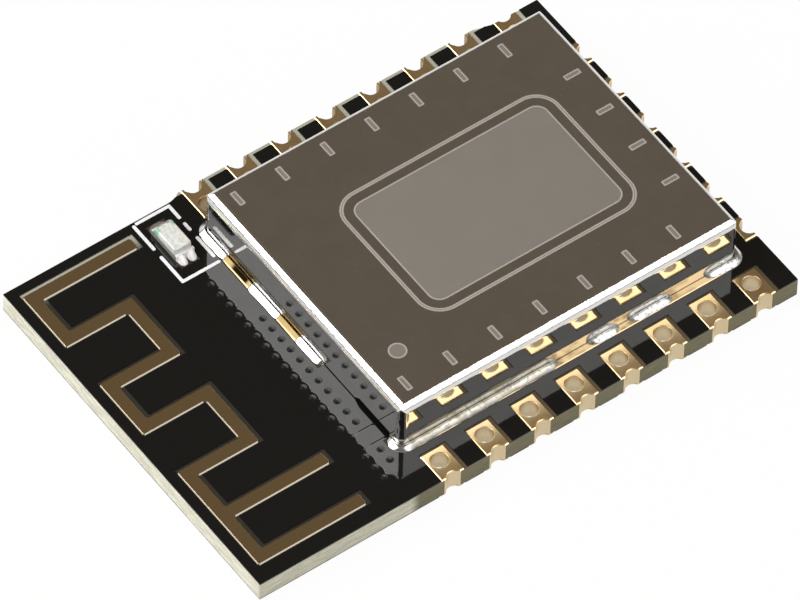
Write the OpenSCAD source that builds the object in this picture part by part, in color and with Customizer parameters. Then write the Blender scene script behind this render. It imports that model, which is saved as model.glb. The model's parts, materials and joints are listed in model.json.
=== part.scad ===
// Surface-mount microcontroller radio module.
// A thin laminate board with plated half-holes on three edges, a meander antenna
// printed on the bare end, and a drawn metal can over the chips.
// The origin is the centre of the board's bottom face, +X runs from the antenna
// end to the far end, -Y is the near long edge and +Z is up.

// The pads set the outline: the board is as long as its rows of pads and the antenna
// need, and the can fills what the pads leave.

/* [Board] */
// Thickness of the finished board
board_t = 0.9; // [0.6:0.1:1.6]
// Thickness of the copper and of the mask on each face
layer_t = 0.04; // [0.03:0.01:0.08]
// Distance that the board stands out along the rear pads, where the router left a step
rear_step = 0.22; // [0.16:0.02:0.3]
// Width of the bare laminate along that step, past the edge of the mask
bare_edge = 0.14; // [0.06:0.01:0.16]
// Radius of the router bit that cut the rear step
router_r = 0.95; // [0.6:0.05:1.2]
// Length of the slope by which that step runs out before the last rear pad
run_out_l = 0.7; // [0.4:0.05:0.8]

/* [Edge pads] */
// Spacing of neighbouring pads
pad_pitch = 2; // [1.8:0.05:2.3]
// Distance from the far edge to the nearest pads of the long rows
row_inset = 1.5; // [1.3:0.1:1.8]
// Distance from each long edge to the nearest pad of the far edge
corner_inset = 3; // [2.7:0.1:3.4]
// Distance from the can's antenna side to the first pads of the long rows
first_pad_gap = 0.85; // [0.6:0.01:1]
// Diameter of the drilled holes before plating
drill_d = 0.8; // [0.6:0.05:0.9]
// Thickness of the plating on the hole walls
plating_t = 0.05; // [0.03:0.01:0.1]
// Copper rim around a drilled hole
pad_rim = 0.1; // [0.06:0.01:0.14]
// Depth that the half-holes cut into the long edges
side_notch = 0.22; // [0.15:0.01:0.3]
// Depth that the half-holes cut into the far edge
end_notch = 0.36; // [0.2:0.02:0.4]
// Laminate left between a half-hole and the hole behind it
hole_web = 0.2; // [0.1:0.02:0.25]
// Room that the mask leaves around the pads and the antenna
mask_gap = 0.09; // [0.05:0.01:0.12]
// Distance that the mask is printed off its place, along the board
mask_shift = 0.08; // [0:0.01:0.1]

/* [Antenna] */
// Width of the antenna trace
trace_w = 0.56; // [0.4:0.02:0.8]
// Distance from the board's end to the antenna
trace_inset = 0.44; // [0.3:0.02:0.7]
// Length of the meander's turns
meander_l = 3.28; // [2.6:0.02:3.6]
// Length of the tip and of the two feed legs
leg_l = 4.8; // [4:0.05:5]
// Distance from the rear edge to the middle of the first arm
tip_inset = 0.8; // [0.7:0.05:1]
// Distance from the near edge to the middle of the last leg
leg_inset = 1; // [0.8:0.05:1.2]
// Extra spacing of two arms that an inner column joins
inner_extra = 0.35; // [0:0.05:0.5]
// Distance from the legs to the outer row of vias
leg_via_gap = 1.17; // [1:0.01:1.5]

/* [Shield can] */
// Height of the can above the board
can_h = 2.2; // [2:0.1:3]
// Thickness of the can's sheet
can_t = 0.2; // [0.1:0.02:0.25]
// Mask left between the near pads and the can's land
pad_land_gap = 0.39; // [0.25:0.01:0.5]
// Mask left between the far pads and the can's land
far_land_gap = 0.35; // [0.25:0.01:0.6]
// Distance of the can's middle from the board's middle, towards the rear
can_dy = 0.16; // [0.05:0.01:0.2]
// Radius of the can's upright corners
corner_r = 0.4; // [0.2:0.05:0.6]
// Radius of the bend around the can's top
bend_r = 0.35; // [0.15:0.05:0.5]
// Width of the gap in the antenna-side wall over the feed line
feed_gap_w = 2; // [1.5:0.1:2.4]
// Height of that gap
feed_gap_h = 0.35; // [0.2:0.05:0.6]
// Distance from the can's near corner to that gap
feed_gap_inset = 0.65; // [0.65:0.05:1]
// Height of the shallow relief beside that gap, where the wall has no land
relief_h = 0.06; // [0.03:0.01:0.1]
// Width of that relief
relief_w = 2; // [1:0.1:2.2]
// Width of the land outside the can's walls, if the can stood in the middle of it
land_out = 0.32; // [0.22:0.01:0.35]
// Distance that the can has slipped on its land, towards the antenna and towards the rear
can_slip = 0.02; // [0:0.01:0.1]
// Width of the land inside the can's walls
land_in = 0.2; // [0.1:0.05:0.25]

/* [Vias] */
// Diameter of the stitching vias
via_d = 0.3; // [0.2:0.02:0.4]
// Diameter of the hole in a via
via_bore_d = 0.2; // [0.1:0.01:0.18]
// Spacing of the vias along their rows
via_pitch = 0.575; // [0.5:0.005:0.65]
// Distance from the can to the inner row of vias
via_row_gap = 0.59; // [0.5:0.01:0.8]
// Distance between the two rows
via_row_pitch = 0.65; // [0.5:0.05:0.7]

/* [Indicator lamp] */
// Length of the lamp
lamp_l = 1.6; // [1.5:0.05:1.8]
// Width of the lamp
lamp_w = 0.8; // [0.7:0.02:0.9]
// Thickness of the lamp's base
lamp_base_t = 0.24; // [0.2:0.02:0.4]
// Height of the lamp's lens above its base
lamp_lens_h = 0.26; // [0.2:0.02:0.4]
// Length of each terminal under the lamp
lamp_foot = 0.3; // [0.2:0.02:0.4]
// Length of each terminal on top of the lamp's base
lamp_tab = 0.12; // [0.08:0.01:0.2]
// Thickness of the terminals
lamp_plate_t = 0.03; // [0.02:0.01:0.05]
// Reach of the solder past each end of the lamp
lamp_toe = 0.34; // [0.25:0.01:0.35]
// Distance from the can's land to the printed frame around the lamp
lamp_land_gap = 0.17; // [0.1:0.01:0.4]
// Distance from the rear edge to that frame
lamp_edge_gap = 0.05; // [0.02:0.01:0.1]
// Distance from the lamp's sides to the frame
frame_side_gap = 0.4; // [0.3:0.02:0.45]
// Distance from the lamp's solder to the frame
frame_end_gap = 0.43; // [0.3:0.01:0.5]
// Width of the printed line around the lamp
line_w = 0.13; // [0.1:0.01:0.16]
// Thickness of the printed line
line_t = 0.02; // [0.01:0.005:0.03]

/* [Processor] */
// Side of the processor's package
cpu_w = 5; // [4.5:0.1:5.6]
// Height of the processor's package
cpu_h = 0.85; // [0.7:0.05:1]
// Spacing of its terminals
cpu_pitch = 0.5; // [0.4:0.02:0.56]
// Width of a terminal
cpu_pin_w = 0.24; // [0.18:0.02:0.3]
// Length of a terminal
cpu_pin_l = 0.4; // [0.3:0.02:0.5]
// Height of a terminal
cpu_pin_h = 0.2; // [0.1:0.02:0.3]
// Side of the thermal pad
cpu_pad_w = 3.3; // [2:0.1:3.5]
// Distance from the can's antenna-side wall to the processor
cpu_wall_gap = 1.2; // [0.9:0.1:1.4]

/* [Memory chip] */
// Length of the memory chip's body along its rows of leads
mem_l = 5.2; // [4.7:0.1:5.8]
// Width of the body between the rows
mem_w = 5.3; // [4.8:0.1:5.9]
// Height of the body
mem_h = 1.55; // [1.4:0.05:1.65]
// Gap under the body
mem_standoff = 0.1; // [0.05:0.01:0.15]
// Spacing of the leads
mem_pitch = 1.27; // [1.2:0.01:1.35]
// Width of a lead
mem_lead_w = 0.42; // [0.3:0.02:0.5]
// Thickness of a lead
mem_lead_t = 0.18; // [0.12:0.01:0.22]
// Reach of a lead past the body
mem_lead_l = 1.3; // [1.1:0.05:1.45]
// Distance from the can's far wall to the body
mem_wall_gap = 1.1; // [0.9:0.1:1.3]
// Distance from the can's rear wall to the leads
mem_lead_gap = 1.15; // [0.9:0.05:1.3]

/* [Crystal and small parts] */
// Length of the crystal
xtal_l = 3.2; // [2.5:0.1:3.4]
// Width of the crystal
xtal_w = 2.5; // [2:0.1:2.6]
// Height of the crystal's ceramic base
xtal_base_h = 0.45; // [0.3:0.05:0.6]
// Height of the crystal's metal lid
xtal_lid_h = 0.25; // [0.15:0.05:0.4]
// Rim of the base around the lid
xtal_rim = 0.15; // [0.1:0.01:0.25]
// Distance from the can's near wall to the crystal
xtal_wall_gap = 0.4; // [0.3:0.05:0.5]
// Length of a small part
chip_l = 1; // [0.9:0.02:1.1]
// Width of a small part
chip_w = 0.5; // [0.4:0.02:0.6]
// Height of a small part
chip_h = 0.4; // [0.3:0.02:0.6]
// Length of each end cap of a small part
chip_end = 0.22; // [0.15:0.01:0.3]
// Spacing of small parts that lie end to end
chip_run = 1.6; // [1.4:0.05:1.7]
// Spacing of small parts that lie side by side
chip_step = 1.2; // [1:0.05:1.3]
// Clear room that a small part keeps
chip_gap = 0.5; // [0.4:0.05:0.55]

/* [Hidden] */
$fn = 48;
// Overshoot of a cutting solid past the face that it opens
cut = 0.1;

// Pads of a long row and of the far edge, counted in pitches from the first
side_row = [0, 1, 2, 3, 4, 5, 6, 7];
end_row = [0, 1, 2, 3, 4, 5];
side_pads = len(side_row);
end_pads = len(end_row);
pad_count = 2 * side_pads + end_pads;
side_row_l = (side_pads - 1) * pad_pitch;
end_row_l = (end_pads - 1) * pad_pitch;

antenna_zone = trace_inset + leg_l + leg_via_gap + via_row_pitch + via_row_gap;
board_l = antenna_zone + first_pad_gap + side_row_l + row_inset;
board_w = end_row_l + 2 * corner_inset;
laminate_z = layer_t;
laminate_t = board_t - 2 * layer_t;
top_layer_z = board_t - layer_t;
end_x = -board_l / 2;
far_x = board_l / 2;
near_y = -board_w / 2;
rear_y = board_w / 2;

drill_r = drill_d / 2;
bore_r = drill_r - plating_t;
pad_w = drill_d + 2 * pad_rim;
side_hole_in = side_notch + hole_web + drill_r;
side_pad_l = side_hole_in + drill_r + pad_rim;
end_pad_l = end_notch + pad_rim + plating_t;
row_start = far_x - row_inset - side_row_l;
end_row_start = -end_row_l / 2;
// The router's arc leaves the nominal edge here and meets the step a little further on
step_run = sqrt(2 * router_r * rear_step - rear_step * rear_step);
step_x = row_start - pad_w / 2 - pad_rim - step_run;
step_end = row_start + side_row_l - pad_w / 2 - pad_rim;
mask_y = rear_y + rear_step - bare_edge;

// The slipped can leaves a wide strip of land for the solder on two sides and a narrow one on the others
wide_toe = land_out + can_slip;
narrow_toe = land_out - can_slip;
can_x0 = end_x + antenna_zone;
can_x1 = far_x - end_pad_l - far_land_gap - wide_toe;
can_l = can_x1 - can_x0;
// The near side has the smaller room, because the can sits a little to the rear
can_w = board_w - 2 * (side_pad_l + pad_land_gap + wide_toe - can_dy);
can_y0 = can_dy - can_w / 2;
can_y1 = can_dy + can_w / 2;
can_mid = [can_x0 + can_l / 2, can_dy];
land_mid = can_mid + [can_slip, -can_slip];
// Smallest radius inside the can's bends
inner_r = 0.05;

// Shares of a wall, from its first corner, that the solder covers
near_spans = [[0, 0.462], [0.55, 0.643], [0.672, 0.8], [0.9, 1]];
far_spans = [[0, 0.2], [0.34, 0.62], [0.8, 0.96]];
rear_spans = [[0, 0.18], [0.3, 0.52], [0.62, 0.78], [0.86, 1]];
// On the antenna side the land stops short of the feed gap, and past it only the corner has solder
land_stop = 1 - (feed_gap_inset + feed_gap_w + relief_w) / can_w;
antenna_spans = [for (s = [[0, 0.252], [0.39, 0.669], [0.78, 0.985]]) s * land_stop];

// Middles of the antenna's arms, from the tip to the second feed leg
tip_y = rear_y - tip_inset;
outer_pitch = (board_w - tip_inset - leg_inset - 2 * inner_extra) / 6;
inner_pitch = outer_pitch + inner_extra;
arm_steps = [0, outer_pitch, inner_pitch, outer_pitch, inner_pitch, outer_pitch, outer_pitch];
function arm_y(i) = i == 0 ? tip_y : arm_y(i - 1) - arm_steps[i];
arm_x0 = end_x + trace_inset;
arm_long = [true, false, false, false, false, true, true];
// Each column joins two arms: [first arm, last arm, on the inner side]
columns = [[0, 1, false], [1, 2, true], [2, 3, false], [3, 4, true], [4, 6, false]];

// Runs of vias: [row, first via's distance behind the board's middle, number of vias]
via_runs = [[1, 4.05, 15], [1, -5.53, 3], [0, 1.69, 11], [0, -5.57, 2]];

// Half-size of the printed frame around the lamp
frame_x = lamp_w / 2 + frame_side_gap;
frame_y = lamp_l / 2 + lamp_toe + frame_end_gap;
lamp_x = can_x0 - narrow_toe - lamp_land_gap - frame_x;
lamp_y = rear_y - lamp_edge_gap - frame_y;
lamp_h = lamp_base_t + 2 * lamp_plate_t;
lens_l = lamp_l - 2 * lamp_tab;
// Slope of the lens's ends, as a share of its length
lens_draft = 0.04;
// Strokes of that frame, each from one point to another, as shares of its half-size
strokes = [
    [[-0.8, 1], [1, 1]],
    [[1, 1], [1, 0.58]],
    [[1, 0.36], [1, 0.16]],
    [[1, -0.14], [1, -0.8]],
    [[-1, 0.96], [-1, 0.16]],
    [[-1, -0.14], [-1, -1]],
    [[-1, -1], [1, -1]],
];

// Half-size of the room inside the can
room_x = can_l / 2 - can_t;
room_y = can_w / 2 - can_t;
// How far a land reaches past the part on it
land_toe = 0.1;
// Places inside the can, from its middle
rear_chips_y = room_y - chip_gap - land_toe - chip_l / 2;
near_chips_y = -room_y + chip_gap + land_in + chip_w / 2;
cpu_at = [cpu_wall_gap + cpu_w / 2 - room_x,
    rear_chips_y - chip_l / 2 - chip_gap - 2 * land_toe - cpu_w / 2];
mem_at = [room_x - mem_wall_gap - mem_l / 2, room_y - mem_lead_gap - mem_lead_l - mem_w / 2];
coil_x = chip_gap + land_in + land_toe + chip_l / 2 - room_x;
coil_y = feed_gap_inset + feed_gap_w / 2 - can_w / 2;
xtal_at = [coil_x + chip_l / 2 + land_toe + chip_gap + xtal_l / 2, xtal_wall_gap + xtal_w / 2 - room_y];
function rear_chip(k) = [2 * chip_gap + land_in + chip_w / 2 - room_x + k * chip_step, rear_chips_y, 90];
function near_chip(k) = [room_x - land_in - chip_gap - land_toe - chip_l / 2 - k * chip_run, near_chips_y, 0];
capacitors_at = [rear_chip(0), rear_chip(1), rear_chip(2), near_chip(3), near_chip(2)];
resistors_at = [rear_chip(3), near_chip(1), near_chip(0)];
inductors_at = [[coil_x, coil_y - chip_step / 2, 0], [coil_x, coil_y + chip_step / 2, 0]];
small_parts_at = concat(capacitors_at, resistors_at, inductors_at);
// Height at which a lead leaves the memory chip's body
lead_exit_z = mem_standoff + mem_h / 2;

// Colours of the finishes
laminate_colour = [0.80, 0.80, 0.70];
mask_colour = [0.06, 0.06, 0.07];
gold_colour = [0.86, 0.66, 0.32];
can_colour = [0.55, 0.54, 0.52];
solder_colour = [0.82, 0.83, 0.85];
print_colour = [0.95, 0.96, 0.97];
resin_colour = [0.08, 0.08, 0.08];
ceramic_colour = [0.62, 0.52, 0.40];

function pad_name(i) = str("pad_", i < 10 ? "0" : "", i);
// Pads count round the board: near row, far edge, then back along the rear row
function on_near(i) = i <= side_pads;
function on_far(i) = i > side_pads && i <= side_pads + end_pads;
function pad_turn(i) = on_near(i) ? 180 : on_far(i) ? -90 : 0;
function pad_place(i) =
    on_near(i) ? [row_start + (i - 1) * pad_pitch, near_y] :
    on_far(i) ? [far_x, end_row_start + (i - 1 - side_pads) * pad_pitch] :
    [row_start + (pad_count - i) * pad_pitch, rear_y];
// The last rear pad lies past the end of the step, so it stops at the nominal edge
function on_step(i) = i > side_pads + end_pads + 1;
function pad_out(i) = on_step(i) ? rear_step : 0;
function pad_l(i) = on_far(i) ? end_pad_l : side_pad_l;
function notch_out(i) = drill_r - (on_far(i) ? end_notch : side_notch);

// Puts its children at a pad: +Y points out of the board, the origin is on the nominal edge
module at_pad(i) {
    translate(pad_place(i)) rotate(pad_turn(i)) children();
}

// Rectangle from one corner to another, grown on every side
module span(x0, y0, x1, y1, grow = 0) {
    translate([x0 - grow, y0 - grow]) square([x1 - x0 + 2 * grow, y1 - y0 + 2 * grow]);
}

module rounded_rect(l, w, r) {
    square([l - 2 * r, w], center = true);
    square([l, w - 2 * r], center = true);
    for (x = [-1, 1], y = [-1, 1]) translate([x * (l / 2 - r), y * (w / 2 - r)]) circle(r);
}

// Routed outline of the laminate: the step along the rear pads starts in an arc and runs out in a slope
module board_outline() {
    step_y = rear_y + rear_step;
    difference() {
        polygon([
            [end_x, near_y], [far_x, near_y], [far_x, rear_y], [step_end, rear_y],
            [step_end - run_out_l, step_y], [step_x, step_y], [step_x, rear_y], [end_x, rear_y],
        ]);
        translate([step_x, rear_y + router_r]) circle(router_r);
    }
}

// The mask covers the laminate up to the bare edge of the step
module mask_outline() {
    intersection() {
        board_outline();
        span(end_x, near_y, far_x, mask_y);
    }
}

// Drilled circles of one pad: its half-hole and, on the long edges, the hole behind it
module pad_drills(i, r) {
    translate([0, notch_out(i)]) circle(r);
    if (!on_far(i)) translate([0, -side_hole_in]) circle(r);
}

module pad_land(i, grow = 0) {
    span(-pad_w / 2, -pad_l(i), pad_w / 2, pad_out(i), grow);
}

// One plated pad: a land on each face, the lining of the half-hole and of the hole behind it
module edge_pad(i) {
    color(gold_colour) at_pad(i) difference() {
        union() {
            linear_extrude(layer_t) pad_land(i);
            translate([0, 0, top_layer_z]) linear_extrude(layer_t) pad_land(i);
            linear_extrude(board_t) intersection() {
                pad_drills(i, drill_r);
                pad_land(i);
            }
        }
        translate([0, 0, -cut]) linear_extrude(board_t + 2 * cut) pad_drills(i, bore_r);
    }
}

module via_places() {
    for (run = via_runs, k = [0 : run[2] - 1])
        translate([can_x0 - via_row_gap - run[0] * via_row_pitch, run[1] - k * via_pitch]) children();
}

module circuit_board() {
    color(laminate_colour) translate([0, 0, laminate_z]) linear_extrude(laminate_t) difference() {
        board_outline();
        for (i = [1 : pad_count]) at_pad(i) pad_drills(i, drill_r);
        via_places() circle(d = via_d);
    }
}

module stitching_vias() {
    color(gold_colour) translate([0, 0, laminate_z]) linear_extrude(laminate_t) via_places() difference() {
        circle(d = via_d);
        circle(d = via_bore_d);
    }
}

// The meander: arms across the bare end, joined in turn by outer and inner columns
module antenna_outline(grow = 0) {
    for (i = [0 : len(arm_long) - 1])
        span(arm_x0, arm_y(i) - trace_w / 2, arm_x0 + (arm_long[i] ? leg_l : meander_l), arm_y(i) + trace_w / 2,
            grow);
    for (c = columns) {
        x = arm_x0 + (c[2] ? meander_l - trace_w : 0);
        span(x, arm_y(c[1]) - trace_w / 2, x + trace_w, arm_y(c[0]) + trace_w / 2, grow);
    }
}

module antenna_trace() {
    color(gold_colour) translate([0, 0, top_layer_z]) linear_extrude(layer_t) antenna_outline();
}

// Land under the can's walls, left open where the feed line goes in
module shield_land_outline() {
    difference() {
        translate(land_mid) difference() {
            rounded_rect(can_l + 2 * land_out, can_w + 2 * land_out, corner_r + land_out);
            square([can_l - 2 * (can_t + land_in), can_w - 2 * (can_t + land_in)], center = true);
        }
        span(can_x0 - land_out - cut, can_y0 + feed_gap_inset,
            can_x0 + can_t + land_in + can_slip + cut, can_y0 + feed_gap_inset + feed_gap_w + relief_w);
    }
}

module shield_land() {
    color(gold_colour) translate([0, 0, top_layer_z]) linear_extrude(layer_t) shield_land_outline();
}

// Everything that the top mask leaves open
module top_openings() {
    translate([mask_shift, 0]) {
        for (i = [1 : pad_count]) at_pad(i) pad_land(i, mask_gap);
        translate([0, mask_shift / 2]) antenna_outline(mask_gap);
    }
    shield_land_outline();
    lamp_land_outline();
    processor_land_outline();
    memory_land_outline();
    crystal_land_outline();
    small_land_outline();
}

module top_solder_mask() {
    color(mask_colour) translate([0, 0, top_layer_z]) linear_extrude(layer_t) difference() {
        mask_outline();
        top_openings();
    }
}

module bottom_solder_mask() {
    color(mask_colour) linear_extrude(layer_t) difference() {
        mask_outline();
        for (i = [1 : pad_count]) at_pad(i) pad_land(i, mask_gap);
    }
}

// Upright section with rounded top corners
module arch(w, h, r) {
    translate([-w / 2, 0]) square([w, h - r]);
    translate([r - w / 2, 0]) square([w - 2 * r, h]);
    for (x = [-1, 1]) translate([x * (w / 2 - r), h - r]) circle(r);
}

// Block with rounded upright corners and a rounded edge around its top
module can_block(l, w, h, corner, bend) {
    intersection() {
        linear_extrude(h) rounded_rect(l, w, corner);
        rotate([90, 0, 0]) linear_extrude(w, center = true) arch(l, h, bend);
        rotate([90, 0, 90]) linear_extrude(l, center = true) arch(w, h, bend);
    }
}

module shield_can() {
    color(can_colour) translate([0, 0, board_t]) difference() {
        translate(can_mid) can_block(can_l, can_w, can_h, corner_r, bend_r);
        translate([can_mid[0], can_mid[1], -cut])
            can_block(can_l - 2 * can_t, can_w - 2 * can_t, can_h - can_t + cut,
                max(corner_r - can_t, inner_r), max(bend_r - can_t, inner_r));
        translate([can_x0 - cut, can_y0 + feed_gap_inset, -cut])
            cube([can_t + 2 * cut, feed_gap_w, feed_gap_h + cut]);
        translate([can_x0 - cut, can_y0 + feed_gap_inset + feed_gap_w - cut, -cut])
            cube([can_t + 2 * cut, relief_w + cut, relief_h + cut]);
    }
}

module quarter_disc(r) {
    intersection() {
        circle(r);
        square(r);
    }
}

// Quarter-round bead of solder along a wall on its -Y side, from x = a to x = b, with round ends where asked
module bead(a, b, r, round_a, round_b) {
    translate([a, 0, 0]) rotate([90, 0, 90]) mirror([1, 0]) linear_extrude(b - a) quarter_disc(r);
    if (round_a) translate([a, 0, 0]) rotate(180) rotate_extrude(angle = 90) quarter_disc(r);
    if (round_b) translate([b, 0, 0]) rotate(270) rotate_extrude(angle = 90) quarter_disc(r);
}

// Solder of one wall of the can: the corner that it starts at, then a bead of the given toe for each span
module wall_solder(length, spans, toe, corner_toe) {
    translate([corner_r, corner_r, 0]) rotate(180) rotate_extrude(angle = 90)
        translate([corner_r, 0]) quarter_disc(corner_toe);
    for (s = spans) {
        a = s[0] > 0 ? s[0] * length + toe : corner_r;
        b = s[1] < 1 ? s[1] * length - toe : length - corner_r;
        if (b > a) bead(a, b, toe, s[0] > 0 || toe > corner_toe, s[1] < 1);
    }
}

module near_solder() {
    color(solder_colour) translate([can_x0, can_y0, board_t])
        wall_solder(can_l, near_spans, wide_toe, narrow_toe);
}

module far_solder() {
    color(solder_colour) translate([can_x1, can_y0, board_t]) rotate(90)
        wall_solder(can_w, far_spans, wide_toe, wide_toe);
}

module rear_solder() {
    color(solder_colour) translate([can_x1, can_y1, board_t]) rotate(180)
        wall_solder(can_l, rear_spans, narrow_toe, narrow_toe);
}

module antenna_side_solder() {
    color(solder_colour) translate([can_x0, can_y1, board_t]) rotate(270)
        wall_solder(can_w, antenna_spans, narrow_toe, narrow_toe);
}

// Puts its children at the lamp, once for each end, with +Y pointing out of that end
module at_lamp_ends() {
    for (turn = [0, 180]) translate([lamp_x, lamp_y]) rotate(turn) translate([0, lamp_l / 2]) children();
}

module lamp_land_outline() {
    at_lamp_ends() span(-lamp_w / 2, -lamp_foot, lamp_w / 2, lamp_toe);
}

module lamp_lands() {
    color(gold_colour) translate([0, 0, top_layer_z]) linear_extrude(layer_t) lamp_land_outline();
}

// Upright section of the lamp's base, shorter than the lamp by its end plates
module lamp_base() {
    color(print_colour) translate([lamp_x, lamp_y, board_t + lamp_plate_t])
        translate([-lamp_w / 2, lamp_plate_t - lamp_l / 2, 0])
            cube([lamp_w, lamp_l - 2 * lamp_plate_t, lamp_base_t]);
}

// Each terminal wraps round its end of the base, with a long foot below and a short tab on top
module lamp_terminals() {
    color(gold_colour) translate([0, 0, board_t]) at_lamp_ends()
        rotate([90, 0, 90]) linear_extrude(lamp_w, center = true) {
            span(-lamp_foot, 0, 0, lamp_plate_t);
            span(-lamp_plate_t, 0, 0, lamp_h);
            span(-lamp_tab, lamp_h - lamp_plate_t, 0, lamp_h);
        }
}

module lamp_lens() {
    half = lens_l / 2;
    top_half = half - lens_draft * lens_l;
    color([0.92, 0.95, 0.90]) translate([lamp_x, lamp_y, board_t + lamp_plate_t + lamp_base_t])
        rotate([90, 0, 90]) linear_extrude(lamp_w, center = true)
            polygon([[-half, 0], [half, 0], [top_half, lamp_lens_h], [-top_half, lamp_lens_h]]);
}

module lamp_solder() {
    color(solder_colour) translate([0, 0, board_t]) at_lamp_ends() rotate(180)
        bead(-lamp_w / 2, lamp_w / 2, min(lamp_toe, lamp_h), false, false);
}

module stroke(a, b, w) {
    run = b - a;
    translate(a) rotate(atan2(run[1], run[0])) translate([0, -w / 2]) square([norm(run), w]);
    for (p = [a, b]) translate(p) circle(d = w);
}

module printed_frame() {
    color(print_colour) translate([lamp_x + mask_shift, lamp_y - mask_shift, board_t]) linear_extrude(line_t)
        for (s = strokes)
            stroke([s[0][0] * frame_x, s[0][1] * frame_y], [s[1][0] * frame_x, s[1][1] * frame_y], line_w);
}

// Puts its children at a place inside the can, given from the can's middle
module in_can(place) {
    translate([can_mid[0] + place[0], can_mid[1] + place[1]]) children();
}

module cpu_terminal_places() {
    for (turn = [0 : 90 : 270], k = [-3.5 : 1 : 3.5])
        rotate(turn) translate([k * cpu_pitch, -cpu_w / 2]) children();
}

module processor_land_outline() {
    in_can(cpu_at) {
        cpu_terminal_places() span(-cpu_pin_w / 2, -land_toe, cpu_pin_w / 2, cpu_pin_l);
        square(cpu_pad_w, center = true);
    }
}

module processor_lands() {
    color(gold_colour) translate([0, 0, top_layer_z]) linear_extrude(layer_t) processor_land_outline();
}

module processor_terminals() {
    color(solder_colour) translate([0, 0, board_t]) linear_extrude(cpu_pin_h) in_can(cpu_at) {
        cpu_terminal_places() span(-cpu_pin_w / 2, 0, cpu_pin_w / 2, cpu_pin_l);
        square(cpu_pad_w, center = true);
    }
}

module processor() {
    color(resin_colour) translate([0, 0, board_t]) difference() {
        linear_extrude(cpu_h) in_can(cpu_at) square(cpu_w, center = true);
        translate([0, 0, -cut]) linear_extrude(cpu_pin_h + cut) in_can(cpu_at) {
            cpu_terminal_places() span(-cpu_pin_w / 2, -cut, cpu_pin_w / 2, cpu_pin_l);
            square(cpu_pad_w, center = true);
        }
    }
}

// Puts its children at each lead of the memory chip, with +Y pointing out of the body
module at_leads() {
    in_can(mem_at) for (turn = [0, 180], k = [-1.5 : 1 : 1.5])
        rotate(turn) translate([k * mem_pitch, mem_w / 2]) children();
}

// Foot of a lead, which is the last two fifths of its reach
foot_l = mem_lead_l * 0.4;

module memory_land_outline() {
    at_leads() span(-mem_lead_w / 2, mem_lead_l - foot_l, mem_lead_w / 2, mem_lead_l + land_toe);
}

module memory_lands() {
    color(gold_colour) translate([0, 0, top_layer_z]) linear_extrude(layer_t) memory_land_outline();
}

module memory_chip() {
    color(resin_colour) translate([0, 0, board_t + mem_standoff]) linear_extrude(mem_h)
        in_can(mem_at) square([mem_l, mem_w], center = true);
}

// Side outline of a gull-wing lead: out of the body, down, and along the board
module lead_outline() {
    knee = mem_lead_l * 0.25;
    heel = mem_lead_l - foot_l;
    polygon([
        [0, lead_exit_z], [0, lead_exit_z + mem_lead_t], [knee + mem_lead_t, lead_exit_z + mem_lead_t],
        [heel + mem_lead_t / 2, mem_lead_t], [mem_lead_l, mem_lead_t], [mem_lead_l, 0],
        [heel, 0], [knee + mem_lead_t / 2, lead_exit_z],
    ]);
}

module memory_leads() {
    color(solder_colour) translate([0, 0, board_t]) at_leads()
        rotate([90, 0, 90]) linear_extrude(mem_lead_w, center = true) lead_outline();
}

module crystal_land_outline() {
    land = [xtal_l * 0.3, xtal_w * 0.32];
    in_can(xtal_at) for (x = [-1, 1], y = [-1, 1])
        translate([x * (xtal_l - land[0]) / 2, y * (xtal_w - land[1]) / 2]) square(land, center = true);
}

module crystal_lands() {
    color(gold_colour) translate([0, 0, top_layer_z]) linear_extrude(layer_t) crystal_land_outline();
}

module crystal_base() {
    color(ceramic_colour) translate([0, 0, board_t]) linear_extrude(xtal_base_h)
        in_can(xtal_at) rounded_rect(xtal_l, xtal_w, xtal_rim);
}

module crystal_lid() {
    color(can_colour) translate([0, 0, board_t + xtal_base_h]) linear_extrude(xtal_lid_h)
        in_can(xtal_at) rounded_rect(xtal_l - 2 * xtal_rim, xtal_w - 2 * xtal_rim, xtal_rim);
}

// Puts its children at each small part of a list, turned as the list says
module at_small_parts(places) {
    for (p = places) in_can(p) rotate(p[2]) children();
}

module small_bodies(places, height) {
    translate([0, 0, board_t]) linear_extrude(height) at_small_parts(places)
        square([chip_l - 2 * chip_end, chip_w], center = true);
}

module small_ends(places, height) {
    translate([0, 0, board_t]) linear_extrude(height) at_small_parts(places)
        for (side = [-1, 1]) translate([side * (chip_l - chip_end) / 2, 0]) square([chip_end, chip_w], center = true);
}

module small_land_outline() {
    at_small_parts(small_parts_at) for (turn = [0, 180]) rotate(turn)
        span(chip_l / 2 - chip_end, -chip_w / 2, chip_l / 2 + land_toe, chip_w / 2);
}

module small_part_lands() {
    color(gold_colour) translate([0, 0, top_layer_z]) linear_extrude(layer_t) small_land_outline();
}

module capacitors() { color(ceramic_colour) small_bodies(capacitors_at, chip_h); }
module capacitor_ends() { color(solder_colour) small_ends(capacitors_at, chip_h); }
module resistors() { color(resin_colour) small_bodies(resistors_at, chip_h * 0.8); }
module resistor_ends() { color(solder_colour) small_ends(resistors_at, chip_h * 0.8); }
module inductors() { color(print_colour) small_bodies(inductors_at, chip_h); }
module inductor_ends() { color(solder_colour) small_ends(inductors_at, chip_h); }

circuit_board();
top_solder_mask();
bottom_solder_mask();
antenna_trace();
stitching_vias();
for (i = [1 : pad_count]) edge_pad(i);
shield_land();
shield_can();
near_solder();
far_solder();
rear_solder();
antenna_side_solder();
lamp_lands();
lamp_base();
lamp_lens();
lamp_terminals();
lamp_solder();
printed_frame();
processor();
processor_terminals();
processor_lands();
memory_chip();
memory_leads();
memory_lands();
crystal_base();
crystal_lid();
crystal_lands();
capacitors();
capacitor_ends();
resistors();
resistor_ends();
inductors();
inductor_ends();
small_part_lands();
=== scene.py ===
"""Dresses the solids of a surface-mount radio module: edge pads, antenna, drawn can, solder and lamp."""
import json
from math import acos, cos, pi, radians, sin

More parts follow.
